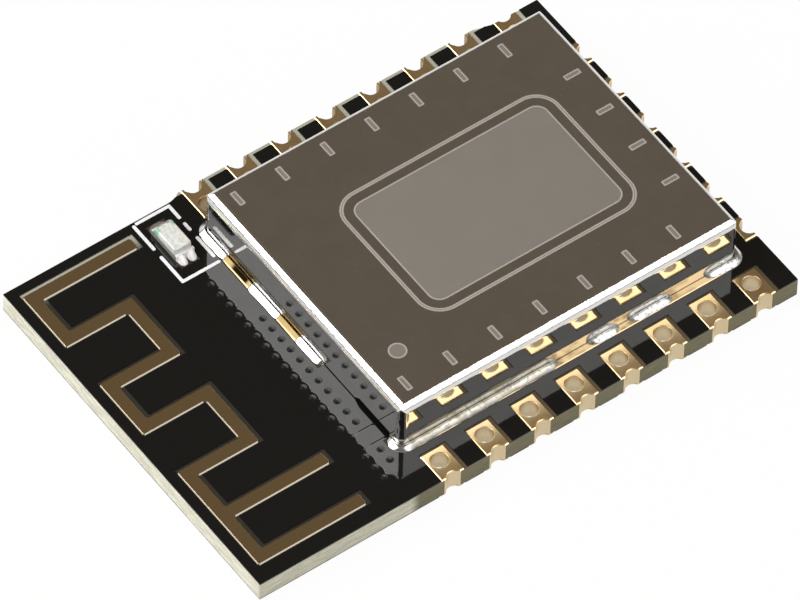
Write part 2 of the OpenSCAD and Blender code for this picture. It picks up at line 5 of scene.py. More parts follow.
import bpy
import numpy as np
from bpy.props import FloatProperty, FloatVectorProperty, PointerProperty
from mathutils import Matrix, Vector


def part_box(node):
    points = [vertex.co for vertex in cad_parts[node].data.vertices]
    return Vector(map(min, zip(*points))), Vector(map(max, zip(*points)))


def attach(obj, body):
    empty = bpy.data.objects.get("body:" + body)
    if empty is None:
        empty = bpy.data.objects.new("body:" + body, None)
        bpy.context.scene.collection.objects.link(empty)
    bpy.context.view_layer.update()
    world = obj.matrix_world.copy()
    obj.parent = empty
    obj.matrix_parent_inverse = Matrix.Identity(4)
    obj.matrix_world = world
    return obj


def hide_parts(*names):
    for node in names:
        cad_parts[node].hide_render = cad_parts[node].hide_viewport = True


bl_info = {
    "name": "Radio Module Dressing",
    "version": (1, 0, 0),
    "blender": (4, 5, 0),
    "location": "View3D > Sidebar > Module",
    "description": "Builds the plated, soldered and drawn surfaces of a surface-mount radio module",
    "category": "Object",
}

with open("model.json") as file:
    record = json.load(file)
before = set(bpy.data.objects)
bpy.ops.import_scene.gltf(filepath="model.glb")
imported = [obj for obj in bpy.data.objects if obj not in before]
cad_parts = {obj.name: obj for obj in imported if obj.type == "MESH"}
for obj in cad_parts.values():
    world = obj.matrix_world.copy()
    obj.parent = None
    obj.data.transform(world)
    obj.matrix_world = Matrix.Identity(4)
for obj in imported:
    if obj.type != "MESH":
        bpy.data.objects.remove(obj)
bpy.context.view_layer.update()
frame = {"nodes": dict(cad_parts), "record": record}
MM = 0.001


def node_box(node):
    """Lowest and highest corner of a solid, as arrays in metres."""
    low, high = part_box(node)
    return np.array(low), np.array(high)


MASK_LOW, MASK_HIGH = node_box("top_solder_mask")
CAN_LOW, CAN_HIGH = node_box("shield_can")
TRACE_LOW, TRACE_HIGH = node_box("antenna_trace")
LENS_LOW, LENS_HIGH = node_box("lamp_lens")
LAMP_LOW, LAMP_HIGH = node_box("lamp_terminals")
TOP = MASK_HIGH[2]
LAYER = MASK_HIGH[2] - MASK_LOW[2]
EDGE = -MASK_LOW[1]
NEAR_PADS = [f"pad_{i:02d}" for i in range(1, 9)]
FAR_PADS = [f"pad_{i:02d}" for i in range(9, 15)]
REAR_PADS = [f"pad_{i:02d}" for i in range(15, 23)]


def length(name, default, text):
    """A property that holds a length, given in millimetres and kept in metres."""
    return FloatProperty(name=name, description=text, default=default * MM, min=0.0, precision=6,
                         subtype="DISTANCE", unit="LENGTH")


def colour(name, default, text):
    """A property that holds a linear colour."""
    return FloatVectorProperty(name=name, description=text, default=default, size=3, min=0.0, max=1.0,
                               subtype="COLOR")


class ModuleSizes(bpy.types.PropertyGroup):
    """Sizes of the surfaces that are laid over the solids."""
    hole_radius: length("Hole radius", 0.35, "Finished radius of the plated holes and half-holes")
    plating: length("Plating", 0.05, "Thickness of the lining of a hole")
    hole_in: length("Hole distance", 0.82, "Distance from the long edge to the middle of a pad's hole")
    side_notch_out: length("Side half-hole offset", 0.18,
                           "Distance of a side half-hole's middle past the edge")
    end_notch_out: length("End half-hole offset", 0.04, "Distance of an end half-hole's middle past the edge")
    pad_edge: length("Pad edge", 0.02, "Rounding of the plated edges")
    pad_slope: length("Pad slope", 0.04, "Width of the etched edges of a pad that face the light")
    trace_width: length("Trace width", 0.56, "Width of the antenna's trace")
    meander_length: length("Meander length", 3.28, "Length of the antenna's turns")
    tip_inset: length("Tip inset", 0.8, "Distance from the rear edge to the middle of the first arm")
    outer_pitch: length("Outer pitch", 2.25, "Spacing of two arms that an outer column joins")
    inner_pitch: length("Inner pitch", 2.6, "Spacing of two arms that an inner column joins")
    trace_corner: length("Trace corner", 0.1, "Radius of the etched corners of the antenna")
    can_bend: length("Can bend", 0.38, "Radius of the bend around the can's top")
    can_corner: length("Can corner", 0.33, "Radius of the can's upright corners")
    can_sheet: length("Can sheet", 0.2, "Thickness of the can's sheet")
    feed_inset: length("Feed gap inset", 0.65, "Distance from the can's near corner to the feed gap")
    feed_width: length("Feed gap width", 2.0, "Width of the feed gap")
    feed_height: length("Feed gap height", 0.27, "Height of the feed gap")
    relief_width: length("Relief width", 2.0, "Width of the shallow relief beside the feed gap")
    relief_height: length("Relief height", 0.06, "Height of the shallow relief")
    foot_gap: length("Foot gap", 0.03, "Gap under the can's foot where no solder fills it")
    feed_blend: length("Feed gap blend", 0.30, "Length over which the relief runs into the feed gap")
    wide_toe: length("Wide toe", 0.32, "Reach of the solder from the can's near and far walls")
    narrow_toe: length("Narrow toe", 0.30, "Reach of the solder from the can's rear and antenna-side walls")
    slope_x: length("Antenna-end slope", 0.055, "Width of the etched edges that face the antenna end")
    slope_y: length("Near slope", 0.045, "Width of the etched edges that face the near side")
    via_radius: length("Via radius", 0.155, "Radius of the mask's mound over a via")
    via_pitch: length("Via pitch", 0.575, "Spacing of the vias along a row")
    via_row_gap: length("Via row gap", 0.59, "Distance from the can to the inner row of vias")
    via_row_pitch: length("Via row pitch", 0.65, "Distance between the rows of vias")


class ModuleColours(bpy.types.PropertyGroup):
    """Base colours of the module's finishes, linear."""
    mask: colour("Mask", (0.0055, 0.0062, 0.0060), "Black mask")
    gold: colour("Gold", (0.95, 0.74, 0.44), "Immersion gold")
    can: colour("Can", (0.74, 0.73, 0.71), "Drawn nickel-silver sheet")
    etch: colour("Etch", (0.50, 0.48, 0.44), "Etched field on the can")
    solder: colour("Solder", (0.86, 0.87, 0.88), "Reflowed solder")
    laminate: colour("Laminate", (0.66, 0.65, 0.53), "Routed glass-fibre laminate")
    resin: colour("Lamp resin", (0.78, 0.80, 0.77), "Clear resin over the lamp's die")
    green: colour("Lamp mark", (0.20, 0.50, 0.36), "Green corner marks of the lamp")
    ink: colour("Legend ink", (0.88, 0.90, 0.92), "White legend ink")


class StageSettings(bpy.types.PropertyGroup):
    """Camera and light of the studio."""
    azimuth: FloatProperty(name="Azimuth", description="Direction of the camera round the module",
                           default=radians(-37.323), subtype="ANGLE", unit="ROTATION")
    elevation: FloatProperty(name="Elevation", description="Height of the camera over the module",
                             default=radians(52.084), subtype="ANGLE", unit="ROTATION")
    roll: FloatProperty(name="Roll", description="Turn of the camera about its own axis",
                        default=radians(1.765), subtype="ANGLE", unit="ROTATION")
    distance: length("Distance", 455.875, "Distance from the camera to the module")
    lens: FloatProperty(name="Lens", description="Focal length on a 36 mm sensor", default=566.29,
                        unit="CAMERA")
    left_light: FloatProperty(name="Left softbox", description="Radiance of the left softbox", default=4.2)
    right_light: FloatProperty(name="Right softbox", description="Radiance of the right softbox", default=2.3)
    dark: colour("Dark side", (0.142, 0.114, 0.086), "Colour of the unlit side of the studio")
    backdrop: colour("Backdrop", (1.0, 1.0, 1.0), "Colour of the floor and of the sweep behind it")


def grid_faces(rows, cols, wrap_rows, wrap_cols):
    """Quads of a grid of points, joined round in either direction where asked."""
    row_starts = np.arange(rows if wrap_rows else rows - 1)
    col_starts = np.arange(cols if wrap_cols else cols - 1)
    r0, c0 = np.meshgrid(row_starts, col_starts, indexing="ij")
    r1 = (r0 + 1) % rows
    c1 = (c0 + 1) % cols
    quads = np.stack([r0 * cols + c0, r0 * cols + c1, r1 * cols + c1, r1 * cols + c0], axis=-1)
    return quads.reshape(-1, 4).tolist()


class Shell:
    """Gathers the closed surfaces of one piece."""

    def __init__(self):
        self.points = np.zeros((0, 3))
        self.faces = []

    def add(self, grid, wrap_rows=False, wrap_cols=False):
        """Adds a grid of points; the ends of a direction that does not wrap are closed with one face each.

        The faces are turned outwards: the signed volume is the sum over the faces' triangles of
        a . (b x c) / 6, and a negative one reverses them all.
        """
        rows, cols = grid.shape[:2]
        points = grid.reshape(-1, 3)
        faces = grid_faces(rows, cols, wrap_rows, wrap_cols)
        index = np.arange(rows * cols).reshape(rows, cols)
        if wrap_cols and not wrap_rows:
            faces += [index[0, ::-1].tolist(), index[-1].tolist()]
        if wrap_rows and not wrap_cols:
            faces += [index[:, 0].tolist(), index[::-1, -1].tolist()]
        volume = sum(
            np.einsum("i,ji->", points[f[0]], np.cross(points[f[1:-1]], points[f[2:]])) for f in faces)
        start = len(self.points)
        step = 1 if volume > 0 else -1
        self.faces += [[start + i for i in f[::step]] for f in faces]
        self.points = np.concatenate([self.points, points])
        return self


def finish_piece(name, shell, finish, replaced=(), sharp=50.0):
    """Makes the shell an object on the module's body, smooth where its faces meet under the sharp angle."""
    mesh = bpy.data.meshes.new(name)
    mesh.from_pydata(shell.points.tolist(), [], shell.faces)
    mesh.update()
    mesh.shade_smooth()
    mesh.set_sharp_from_angle(angle=radians(sharp))
    mesh.materials.append(finish)
    piece = bpy.data.objects.new(name, mesh)
    bpy.context.scene.collection.objects.link(piece)
    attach(piece, "root")
    if replaced:
        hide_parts(*replaced)


def arc(centre, radius, start, end, steps):
    """Points of a circle from one angle to another."""
    t = np.linspace(start, end, steps)
    return np.stack([centre[0] + radius * np.cos(t), centre[1] + radius * np.sin(t)], axis=-1)


def raised(plan, height):
    """Plan points lifted to a height, which is one number or one for each point."""
    return np.concatenate([plan, np.broadcast_to(height, plan.shape[:-1])[..., None]], axis=-1)


def side_normals(outline):
    """Inward normals of the sides after and before each point of a closed outline."""
    side = np.roll(outline, -1, axis=0) - outline
    side /= np.linalg.norm(side, axis=1)[:, None]
    normal = np.stack([-side[:, 1], side[:, 0]], axis=1)
    return normal, np.roll(normal, 1, axis=0)


def inset_outline(outline, distance):
    """Closed outline moved inwards by a distance, one number or one for each point: each point goes along
    (n1 + n2) / (1 + n1 . n2) of its two sides' normals."""
    normal, before = side_normals(outline)
    share = 1.0 + np.sum(normal * before, axis=1)
    return outline + np.reshape(distance, (-1, 1)) * (normal + before) / share[:, None]


def rounded_outline(corners, radius, steps=5):
    """Right-angled polygon with quarter-round corners: about the middle p + r (a + b), where a and b are
    the ways from the corner p to its neighbours, the points lie at -r (b cos t + a sin t)."""
    before = np.roll(corners, 1, axis=0) - corners
    after = np.roll(corners, -1, axis=0) - corners
    a = (before / np.linalg.norm(before, axis=1)[:, None])[:, None]
    b = (after / np.linalg.norm(after, axis=1)[:, None])[:, None]
    t = np.linspace(0.0, pi / 2, steps)[None, :, None]
    return (corners[:, None] + radius * (a + b - b * np.cos(t) - a * np.sin(t))).reshape(-1, 2)


def rounded_slab(outline, low, high, edge, steps=4, draft=0.0):
    """Slab over a closed outline whose upper edge is a quarter round of radius edge, with insets
    edge (1 - cos a) and heights high - edge + edge sin a, and whose flat top starts at 1.25 edge. Draft
    leans its sides in, by one number or one for each point."""
    flat = 1.25 * edge
    turn = np.linspace(0.0, pi / 2, steps)
    share = 1 - (1 - np.sin(turn)) * edge / (high - low)
    rim = [draft * k + edge * (1 - cos(a)) for k, a in zip(share, turn)]
    insets = [0.0 * draft, *rim, draft + flat]
    heights = np.concatenate([[low], high - edge + edge * np.sin(turn), [high]])
    return np.stack([raised(inset_outline(outline, d), z) for d, z in zip(insets, heights)])


def opaque(rgb):
    """A colour with full alpha."""
    return tuple(rgb) + (1.0,)


def scaled(rgb, share):
    """A colour made darker or brighter."""
    return tuple(c * share for c in rgb)


class Wire:
    """An output socket of a node tree. Arithmetic on it adds Math nodes."""

    def __init__(self, nodes, socket):
        self.nodes = nodes
        self.socket = socket

    def math(self, operation, *values):
        return self.nodes.node("ShaderNodeMath", {"operation": operation}, values)

    def __add__(self, other):
        return self.math("ADD", self, other)

    def __radd__(self, other):
        return self.math("ADD", other, self)

    def __sub__(self, other):
        return self.math("SUBTRACT", self, other)

    def __rsub__(self, other):
        return self.math("SUBTRACT", other, self)

    def __mul__(self, other):
        return self.math("MULTIPLY", self, other)

    def __rmul__(self, other):
        return self.math("MULTIPLY", other, self)

    def __truediv__(self, other):
        return self.math("DIVIDE", self, other)

    def __abs__(self):
        return self.math("ABSOLUTE", self)

    def most(self, other):
        return self.math("MAXIMUM", self, other)

    def least(self, other):
        return self.math("MINIMUM", self, other)

    def ramp(self, low, high):
        """0 below low, 1 above high and a smooth step between; low may be the greater of the two."""
        return self.nodes.node("ShaderNodeMapRange", {"interpolation_type": "SMOOTHSTEP"},
                               {"Value": self, "From Min": low, "From Max": high})


class Nodes:
    """A node tree, cleared and then built up by expressions."""

    def __init__(self, tree):
        self.tree = tree
        self.tree.nodes.clear()

    def node(self, kind, settings=None, inputs=(), output=0):
        """Adds a node, sets its settings, then its sockets by number or name, and gives back one output."""
        node = self.tree.nodes.new(kind)
        for key, value in (settings or {}).items():
            setattr(node, key, value)
        pairs = inputs.items() if isinstance(inputs, dict) else enumerate(inputs)
        for key, value in pairs:
            if isinstance(value, Wire):
                self.tree.links.new(value.socket, node.inputs[key])
            else:
                node.inputs[key].default_value = value
        return Wire(self, node.outputs[output]) if node.outputs else None

    def blend(self, share, first, second):
        """Colour that goes from the first to the second."""
        pair = [c if isinstance(c, Wire) else opaque(c) for c in (first, second)]
        return self.node("ShaderNodeMix", {"data_type": "RGBA"}, {0: share, 6: pair[0], 7: pair[1]}, 2)


class Finish(Nodes):
    """One material and its nodes. Positions are in millimetres in the module's frame."""

    def __init__(self, name, **sockets):
        self.material = bpy.data.materials.new(name)
        self.material.use_nodes = True
        super().__init__(self.material.node_tree)
        self.shader = self.tree.nodes.new("ShaderNodeBsdfPrincipled")
        self.node("ShaderNodeOutputMaterial", {}, {"Surface": Wire(self, self.shader.outputs[0])})
        place = self.node("ShaderNodeTexCoord", output="Object")
        self.place = self.node("ShaderNodeVectorMath", {"operation": "SCALE"}, {0: place, "Scale": 1 / MM})
        self.x, self.y, self.z = (self.node("ShaderNodeSeparateXYZ", {}, [self.place], axis)
                                  for axis in range(3))
        self.set(**sockets)

    def set(self, **sockets):
        """Sets the shader's sockets, with underscores for the spaces of their names."""
        for key, value in sockets.items():
            socket = self.shader.inputs[key.replace("_", " ").title().replace("Ior", "IOR")]
            if isinstance(value, Wire):
                self.tree.links.new(value.socket, socket)
            else:
                socket.default_value = value
        return self

    def noise(self, size, detail=2.0, stretch=(1.0, 1.0, 1.0)):
        """Noise from 0 to 1 whose lumps are about size millimetres, longer by stretch along the axes."""
        scale = tuple(1.0 / (size * s) for s in stretch)
        place = self.node("ShaderNodeVectorMath", {"operation": "MULTIPLY"}, [self.place, scale])
        return self.node("ShaderNodeTexNoise", {}, {"Vector": place, "Scale": 1.0, "Detail": detail})

    def bump(self, height):
        """Bends the normal by a height in millimetres."""
        normal = self.node("ShaderNodeBump", {}, {"Height": height, "Distance": MM, "Strength": 1.0})
        return self.set(normal=normal)


# Places in millimetres that the finishes share: the board's top and its near edge, the can's near corner on
# the antenna side, the start and end of the brink of the bare end, and the first via of the outer row.
TOP_Z = float(TOP / MM)
EDGE_Y = float(EDGE / MM)
CAN_X = float(CAN_LOW[0] / MM)
CAN_Y = float(CAN_LOW[1] / MM)
BARE_BRINK = (-6.0, -6.4)
VIA_START = 4.05


def mound_finish(c):
    """Mask over the vias, a little duller than on the flat."""
    f = Finish("mounded_mask", ior=1.5, specular_ior_level=0.32)
    peel = f.noise(0.05)
    f.set(base_color=f.blend(peel, c.mask, scaled(c.mask, 1.6)), roughness=0.19 + 0.14 * peel)
    return f.bump(0.0004 * peel).material


def mask_finish(c, s):
    """Glossy black mask with a faint orange peel and dust-fine dull spots. It rises in a hollow curve from
    the can to the edge of the ground copper under it, whose lobes follow the outer row of vias, and has a
    groove on either side of the feed line. The bottom face has neither."""
    hollow_out = 0.66
    copper_out = 1.05
    lobe = 0.09
    feed_sides = (4.5, 5.22)
    groove_half = 0.045
    groove_depth = 0.010
    f = Finish("black_mask", ior=1.5, specular_ior_level=0.5)
    peel = f.noise(0.5)
    spots = f.noise(0.06, 3.0).ramp(0.64, 0.74)
    f.set(base_color=f.blend(spots * 0.5, c.mask, scaled(c.mask, 2.0)))
    f.set(roughness=0.045 + 0.02 * peel + 0.10 * spots)
    wave = f.node("ShaderNodeMath", {"operation": "COSINE"}, [(f.y - VIA_START) * (pi * MM / s.via_pitch)])
    brink = CAN_X - copper_out + lobe * abs(wave)
    frame_end = float(node_box("printed_frame")[0][1] / MM)
    away = (CAN_X - hollow_out - f.x).most(0.0)
    fall = (f.x - brink + 0.07).most(0.0)
    ground = (0.13 * away * away).least(0.5 * fall)
    ground = ground * f.y.ramp(frame_end + 0.12, frame_end - 0.05) * f.y.ramp(-6.9, -6.4)
    sides = [abs(f.y + side) / groove_half for side in feed_sides]
    feed = (1.0 - sides[0].least(sides[1])).most(0.0) * f.x.ramp(CAN_X - 1.12, CAN_X - 0.98)
    upper = f.z.ramp(0.3 * TOP_Z, 0.6 * TOP_Z)
    return f.bump(upper * (ground - groove_depth * feed) + 0.0008 * peel).material


def gold_finish(c):
    """Immersion gold: a fine etched grain, a slow change of tone and short rolling marks. The linings of
    the holes are duller and darker with painted shade, most of all along the rear edge. The antenna is
    smoother and darker, and its etched edges are painted dim to tone down their highlights, those that face
    the antenna end most of all."""
    deep_gold = tuple(a * b for a, b in zip(c.gold, (0.93, 0.88, 0.76)))
    near_lining_shade = (0.64, 0.52, 0.33)
    rear_lining_shade = (0.37, 0.26, 0.13)
    edge_shade = (0.27, 0.247, 0.205)
    deep_edge_shade = (0.125, 0.115, 0.098)
    f = Finish("immersion_gold", metallic=1.0)
    tone = f.noise(0.7)
    grain = f.noise(0.035, 3.0)
    rolled = f.noise(0.05, 2.0, (6.0, 0.8, 1.0))
    land = f.blend(tone.ramp(0.3, 0.75), c.gold, deep_gold)
    # Below the top, the linings of the holes are painted darker as shade inside the holes, darkest along the
    # rear edge.
    inside = f.z.ramp(TOP_Z - 0.045, TOP_Z - 0.07)
    lining = f.blend(f.y.ramp(3.0, 6.0), near_lining_shade, rear_lining_shade)
    # The antenna's etched edges get painted shade that tones down their highlights, deeper on those that face
    # the antenna end.
    normal = f.node("ShaderNodeNewGeometry", output="Normal")
    facing = f.node("ShaderNodeSeparateXYZ", {}, [normal], 0).ramp(-0.15, -0.4)
    slope = f.z.ramp(TOP_Z - 0.001, TOP_Z - 0.005)
    trace = f.blend(slope, scaled(c.gold, 0.76), f.blend(facing, edge_shade, deep_edge_shade))
    antenna = f.x.ramp(*BARE_BRINK)
    f.set(base_color=f.blend(antenna, f.blend(inside, land, lining), trace))
    f.set(roughness=0.25 - 0.10 * antenna + 0.06 * grain + 0.04 * rolled + 0.13 * inside)
    return f.bump(0.0005 * grain + 0.0006 * rolled).material


def rounded_box(f, x, y, half_x, half_y, radius):
    """Distance in millimetres outside a rounded rectangle about the origin of x and y, negative inside."""
    dx = abs(x) - (half_x - radius)
    dy = abs(y) - (half_y - radius)
    outside = f.node("ShaderNodeVectorMath", {"operation": "LENGTH"}, [
        f.node("ShaderNodeCombineXYZ", {}, [dx.most(0.0), dy.most(0.0)])], 1)
    return outside + dx.most(dy).least(0.0) - radius


def land_finish(c):
    """Gold land that reflow has stained: along the near wall brown in patches that deepen into painted shade
    towards the can's foot, with a clean outer edge that is rounded off into a painted dark shade line, and
    painted near-black shade along the other walls."""
    corner = 0.67
    dark_stain = (0.10, 0.055, 0.02)
    pale_stain = (0.30, 0.19, 0.075)
    f = Finish("stained_and_shaded_gold", metallic=1.0)
    low, high = (end / MM for end in node_box("shield_land"))
    middle = (low + high) / 2
    half = (high - low) / 2
    inside = -1.0 * rounded_box(f, f.x - middle[0], f.y - middle[1], half[0], half[1], corner)
    patches = f.noise(0.8, 2.0)
    grain = f.noise(0.06, 3.0)
    near = f.y.ramp(CAN_Y + 0.2, CAN_Y)
    # Painted shade that deepens towards the can's foot, broken up by real stain patches.
    wall_shade_and_stain = inside.ramp(0.05, 0.10) * (0.45 + 0.55 * patches.ramp(0.40, 0.60))
    plated = f.blend(wall_shade_and_stain, c.gold, f.blend(grain, dark_stain, pale_stain))
    # A painted dark shade line along the land's outer edge.
    plated = f.blend(inside.ramp(0.045, 0.025), plated, scaled(c.gold, 0.04))
    # Along every wall but the near one the land is painted near-black as shade.
    f.set(base_color=f.blend(near, scaled(c.gold, 0.03), plated))
    f.set(roughness=0.24 + 0.20 * grain)
    return f.bump(0.5 * inside.least(0.07) * near + 0.003 * grain + 0.006 * patches).material


def flux_finish():
    """Flux and gold between the beads on the antenna side: brown with painted shade, paler outside as a
    painted highlight, and near-black in one place as a painted reflection of the dark side.
    """
    reach = 0.25
    dark_brown = (0.13, 0.09, 0.03)
    pale_brown = (0.30, 0.22, 0.10)
    pale_highlight = (0.45, 0.36, 0.22)
    dark_reflection = (0.005, 0.003, 0.001)
    f = Finish("flux_with_painted_shade", metallic=1.0)
    out = (CAN_X - f.x) / reach
    grain = f.noise(0.12, 2.0)
    # A near-black painted reflection of the studio's dark side in the middle of the first gap.
    dark_reflection_spot = f.y.ramp(3.25, 3.40) * f.y.ramp(4.35, 4.10) * out.ramp(0.15, 0.30) * out.ramp(0.88, 0.74)
    brown = f.blend(grain, dark_brown, pale_brown)
    # The outer part is painted paler as a highlight.
    brown = f.blend(out.ramp(0.74, 0.90), brown, pale_highlight)
    f.set(base_color=f.blend(dark_reflection_spot, brown, dark_reflection))
    f.set(roughness=0.22 + 0.20 * grain)
    return f.bump(0.004 * grain).material


def can_marks(f, x, y, half):
    """Distance in millimetres outside the marks on the can's top, negative inside: a plain field with a
    border line, a dot at the first pad, and a tick beside each pad of the near, rear and far rows."""
    field_at = (0.6, -0.2)
    field_half = (4.3, 2.7)
    field_corner = 0.5
    border_out = 0.45
    border_half = 0.07
    dot_in = (1.5, 2.3)
    dot = 0.35
    tick_in = 0.95
    tick_half = (0.12, 0.34)
    tick_corner = 0.04
    half_pitch = 1.0
    side_reach = 6.5
    far_reach = 4.5
    field = rounded_box(f, x - field_at[0], y - field_at[1], *field_half, field_corner)
    border = abs(field - border_out) - border_half
    pad_x = [float((low + high)[0] / 2 / MM) for low, high in map(node_box, NEAR_PADS)]
    from_row = f.x - ((pad_x[0] + pad_x[-1]) / 2 - half_pitch)
    along = f.node("ShaderNodeMath", {"operation": "WRAP"}, [from_row, half_pitch, -half_pitch])
    across = f.node("ShaderNodeMath", {"operation": "WRAP"}, [f.y + half_pitch, half_pitch, -half_pitch])
    side_tick = rounded_box(f, along, abs(y) - (half[1] - tick_in), *tick_half, tick_corner)
    side_tick = side_tick.most(abs(from_row) - side_reach)
    far_tick = rounded_box(f, x - (half[0] - tick_in), across, *tick_half[::-1], tick_corner)
    far_tick = far_tick.most(abs(f.y) - far_reach)
    first = rounded_box(f, x + (half[0] - dot_in[0]), y + (half[1] - dot_in[1]), dot, dot, dot)
    return field.least(border).least(side_tick).least(far_tick).least(first)


def can_finish(c):
    """Drawn sheet with a fine grain and pin-prick specks, and on its top the etched marks with pale
    outlines that are painted highlights. The bend is dented a little by the tool that drew it."""
    etch_rim_highlight = (0.66, 0.64, 0.60)
    f = Finish("drawn_can", metallic=1.0)
    centre = (CAN_LOW + CAN_HIGH) / 2 / MM
    half = (CAN_HIGH - CAN_LOW) / 2 / MM
    top = float(CAN_HIGH[2] / MM)
    on_top = f.z.ramp(top - 0.02, top - 0.005)
    outside = can_marks(f, f.x - centre[0], f.y - centre[1], half)
    marks = outside.ramp(0.02, -0.02) * on_top
    # rim: a pale painted highlight along the edges of the marks.
    rim = abs(outside + 0.01).ramp(0.06, 0.02) * on_top
    mottle = f.noise(0.9, 3.0)
    grain = f.noise(0.045, 2.0)
    specks = f.noise(0.10, 1.0).ramp(0.74, 0.80) * on_top
    drawn = f.noise(0.05, 2.0, (30.0, 30.0, 1.0))
    dents = f.noise(0.14, 2.0) * f.z.ramp(top - 0.50, top - 0.30)
    dull = marks.most(specks * 0.6)
    tone = f.blend(mottle.ramp(0.3, 0.7), c.can, scaled(c.can, 0.94))
    f.set(base_color=f.blend(dull.most(rim), tone, f.blend(rim, c.etch, etch_rim_highlight)))
    f.set(roughness=0.03 + 0.03 * mottle + 0.10 * on_top + 0.05 * grain + 0.34 * dull + 0.16 * rim)
    fine = grain * (0.0002 + 0.0014 * dull)
    return f.bump(fine + (1.0 - on_top) * (0.0005 * drawn + 0.006 * dents)).material


def solder_finish(c):
    """Bright reflowed solder with duller frosted patches. Along the near wall it is speckled and yellowed
    towards the antenna end as painted reflections of the dark side and of the gold, and grey at its toe as
    painted shade. At the lamp it is white, brown behind, and dark below as painted shade."""
    straw = (0.52, 0.49, 0.40)
    amber = (0.30, 0.25, 0.15)
    cream = (0.54, 0.53, 0.48)
    toe_shade_grey = (0.13, 0.13, 0.12)
    dark_reflection_grey = (0.22, 0.23, 0.25)
    white = (0.93, 0.93, 0.92)
    foot_shade = (0.13, 0.10, 0.075)
    brown = (0.20, 0.17, 0.14)
    lamp_x, lamp_y = (float(v) for v in LAMP_HIGH[:2] / MM)
    f = Finish("reflowed_solder")
    frost = f.noise(0.30, 3.0)
    ripple = f.noise(0.45, 1.0)
    speckle = f.noise(0.13, 2.0).ramp(0.52, 0.64)
    near = f.y.ramp(CAN_Y + 0.10, CAN_Y - 0.02) * f.x.ramp(CAN_X, CAN_X + 0.5)
    lamp = f.x.ramp(lamp_x + 0.3, lamp_x)
    behind = lamp * f.y.ramp(lamp_y - 0.06, lamp_y)
    drops = lamp * f.z.ramp(TOP_Z + 0.02, TOP_Z + 0.06)
    tin = f.blend(frost.ramp(0.45, 0.75), c.solder, scaled(c.solder, 0.82))
    gold_reflection_tint = f.blend(frost.ramp(0.42, 0.64), straw, amber)
    dull = f.blend(0.15 + 0.45 * f.x.ramp(5.0, 1.5), cream, gold_reflection_tint)
    # Along the near wall the yellow is a painted reflection of the gold, the speckle a painted reflection of
    # the dark side, and the grey toe painted shade.
    toe = (CAN_Y - f.y + 0.06 * ripple).ramp(0.17, 0.34)
    tin = f.blend(near * (1.0 - 0.6 * f.x.ramp(1.8, 3.4)), tin, f.blend(toe, dull, toe_shade_grey))
    tin = f.blend(near * speckle * 0.8, tin, dark_reflection_grey)
    # At the lamp, below the drops, the solder and lands are painted dark as shade.
    tin = f.blend(lamp, tin, f.blend(drops, foot_shade, white))
    f.set(base_color=f.blend(behind, tin, brown), metallic=1.0 - 0.8 * drops)
    f.set(roughness=0.12 + 0.14 * frost.ramp(0.45, 0.8) + 0.18 * near + 0.24 * lamp)
    return f.bump(0.003 * ripple + (0.0006 + 0.005 * near) * frost).material


def laminate_finish(c):
    """Glass-fibre laminate: thin layers on its routed edges, with pale fibre ends and a rough cut, olive
    along the near edge. Its bare face is dark, most of all round the antenna, and paler at the rear."""
    fibre_end = (0.80, 0.80, 0.74)
    bare_brown = (0.100, 0.074, 0.040)
    bare_dark = (0.026, 0.022, 0.016)
    dark_olive = (0.09, 0.082, 0.040)
    pale_olive = (0.17, 0.155, 0.085)
    face_z = float((TOP - LAYER) / MM)
    f = Finish("glass_laminate", ior=1.5, specular_ior_level=0.25)
    layers = f.noise(0.09, 2.0, (8.0, 8.0, 1.0))
    fibres = f.noise(0.035, 2.0, (1.5, 1.5, 4.0))
    smear = f.noise(0.6)
    pale = f.blend(layers.ramp(0.35, 0.7), scaled(c.laminate, 0.80), scaled(c.laminate, 1.10))
    cut = f.blend(fibres.ramp(0.55, 0.8) * 0.6, pale, fibre_end)
    near = f.y.ramp(0.12 - EDGE_Y, 0.06 - EDGE_Y)
    rear = f.y.ramp(EDGE_Y - 1.4, EDGE_Y - 0.4)
    bare = f.blend(f.x.ramp(*BARE_BRINK), bare_brown, bare_dark)
    bare = f.blend(rear, bare, scaled(c.laminate, 0.60))
    olive = f.blend(layers, dark_olive, pale_olive)
    cut = f.blend(near * (0.95 - 0.7 * f.x.ramp(-4.9, -5.4)), cut, olive)
    f.set(base_color=f.blend(f.z.ramp(face_z - 0.02, face_z - 0.005), cut, bare))
    f.set(roughness=0.55 + 0.2 * smear)
    return f.bump(0.006 * layers + 0.003 * fibres).material


def ink_finish(c):
    """White legend ink, a little uneven."""
    f = Finish("legend_ink", ior=1.45)
    cover = f.noise(0.08, 2.0)
    f.set(base_color=f.blend(cover.ramp(0.3, 0.6), scaled(c.ink, 0.86), c.ink))
    f.set(roughness=0.45 + 0.2 * cover)
    return f.bump(0.003 * cover).material


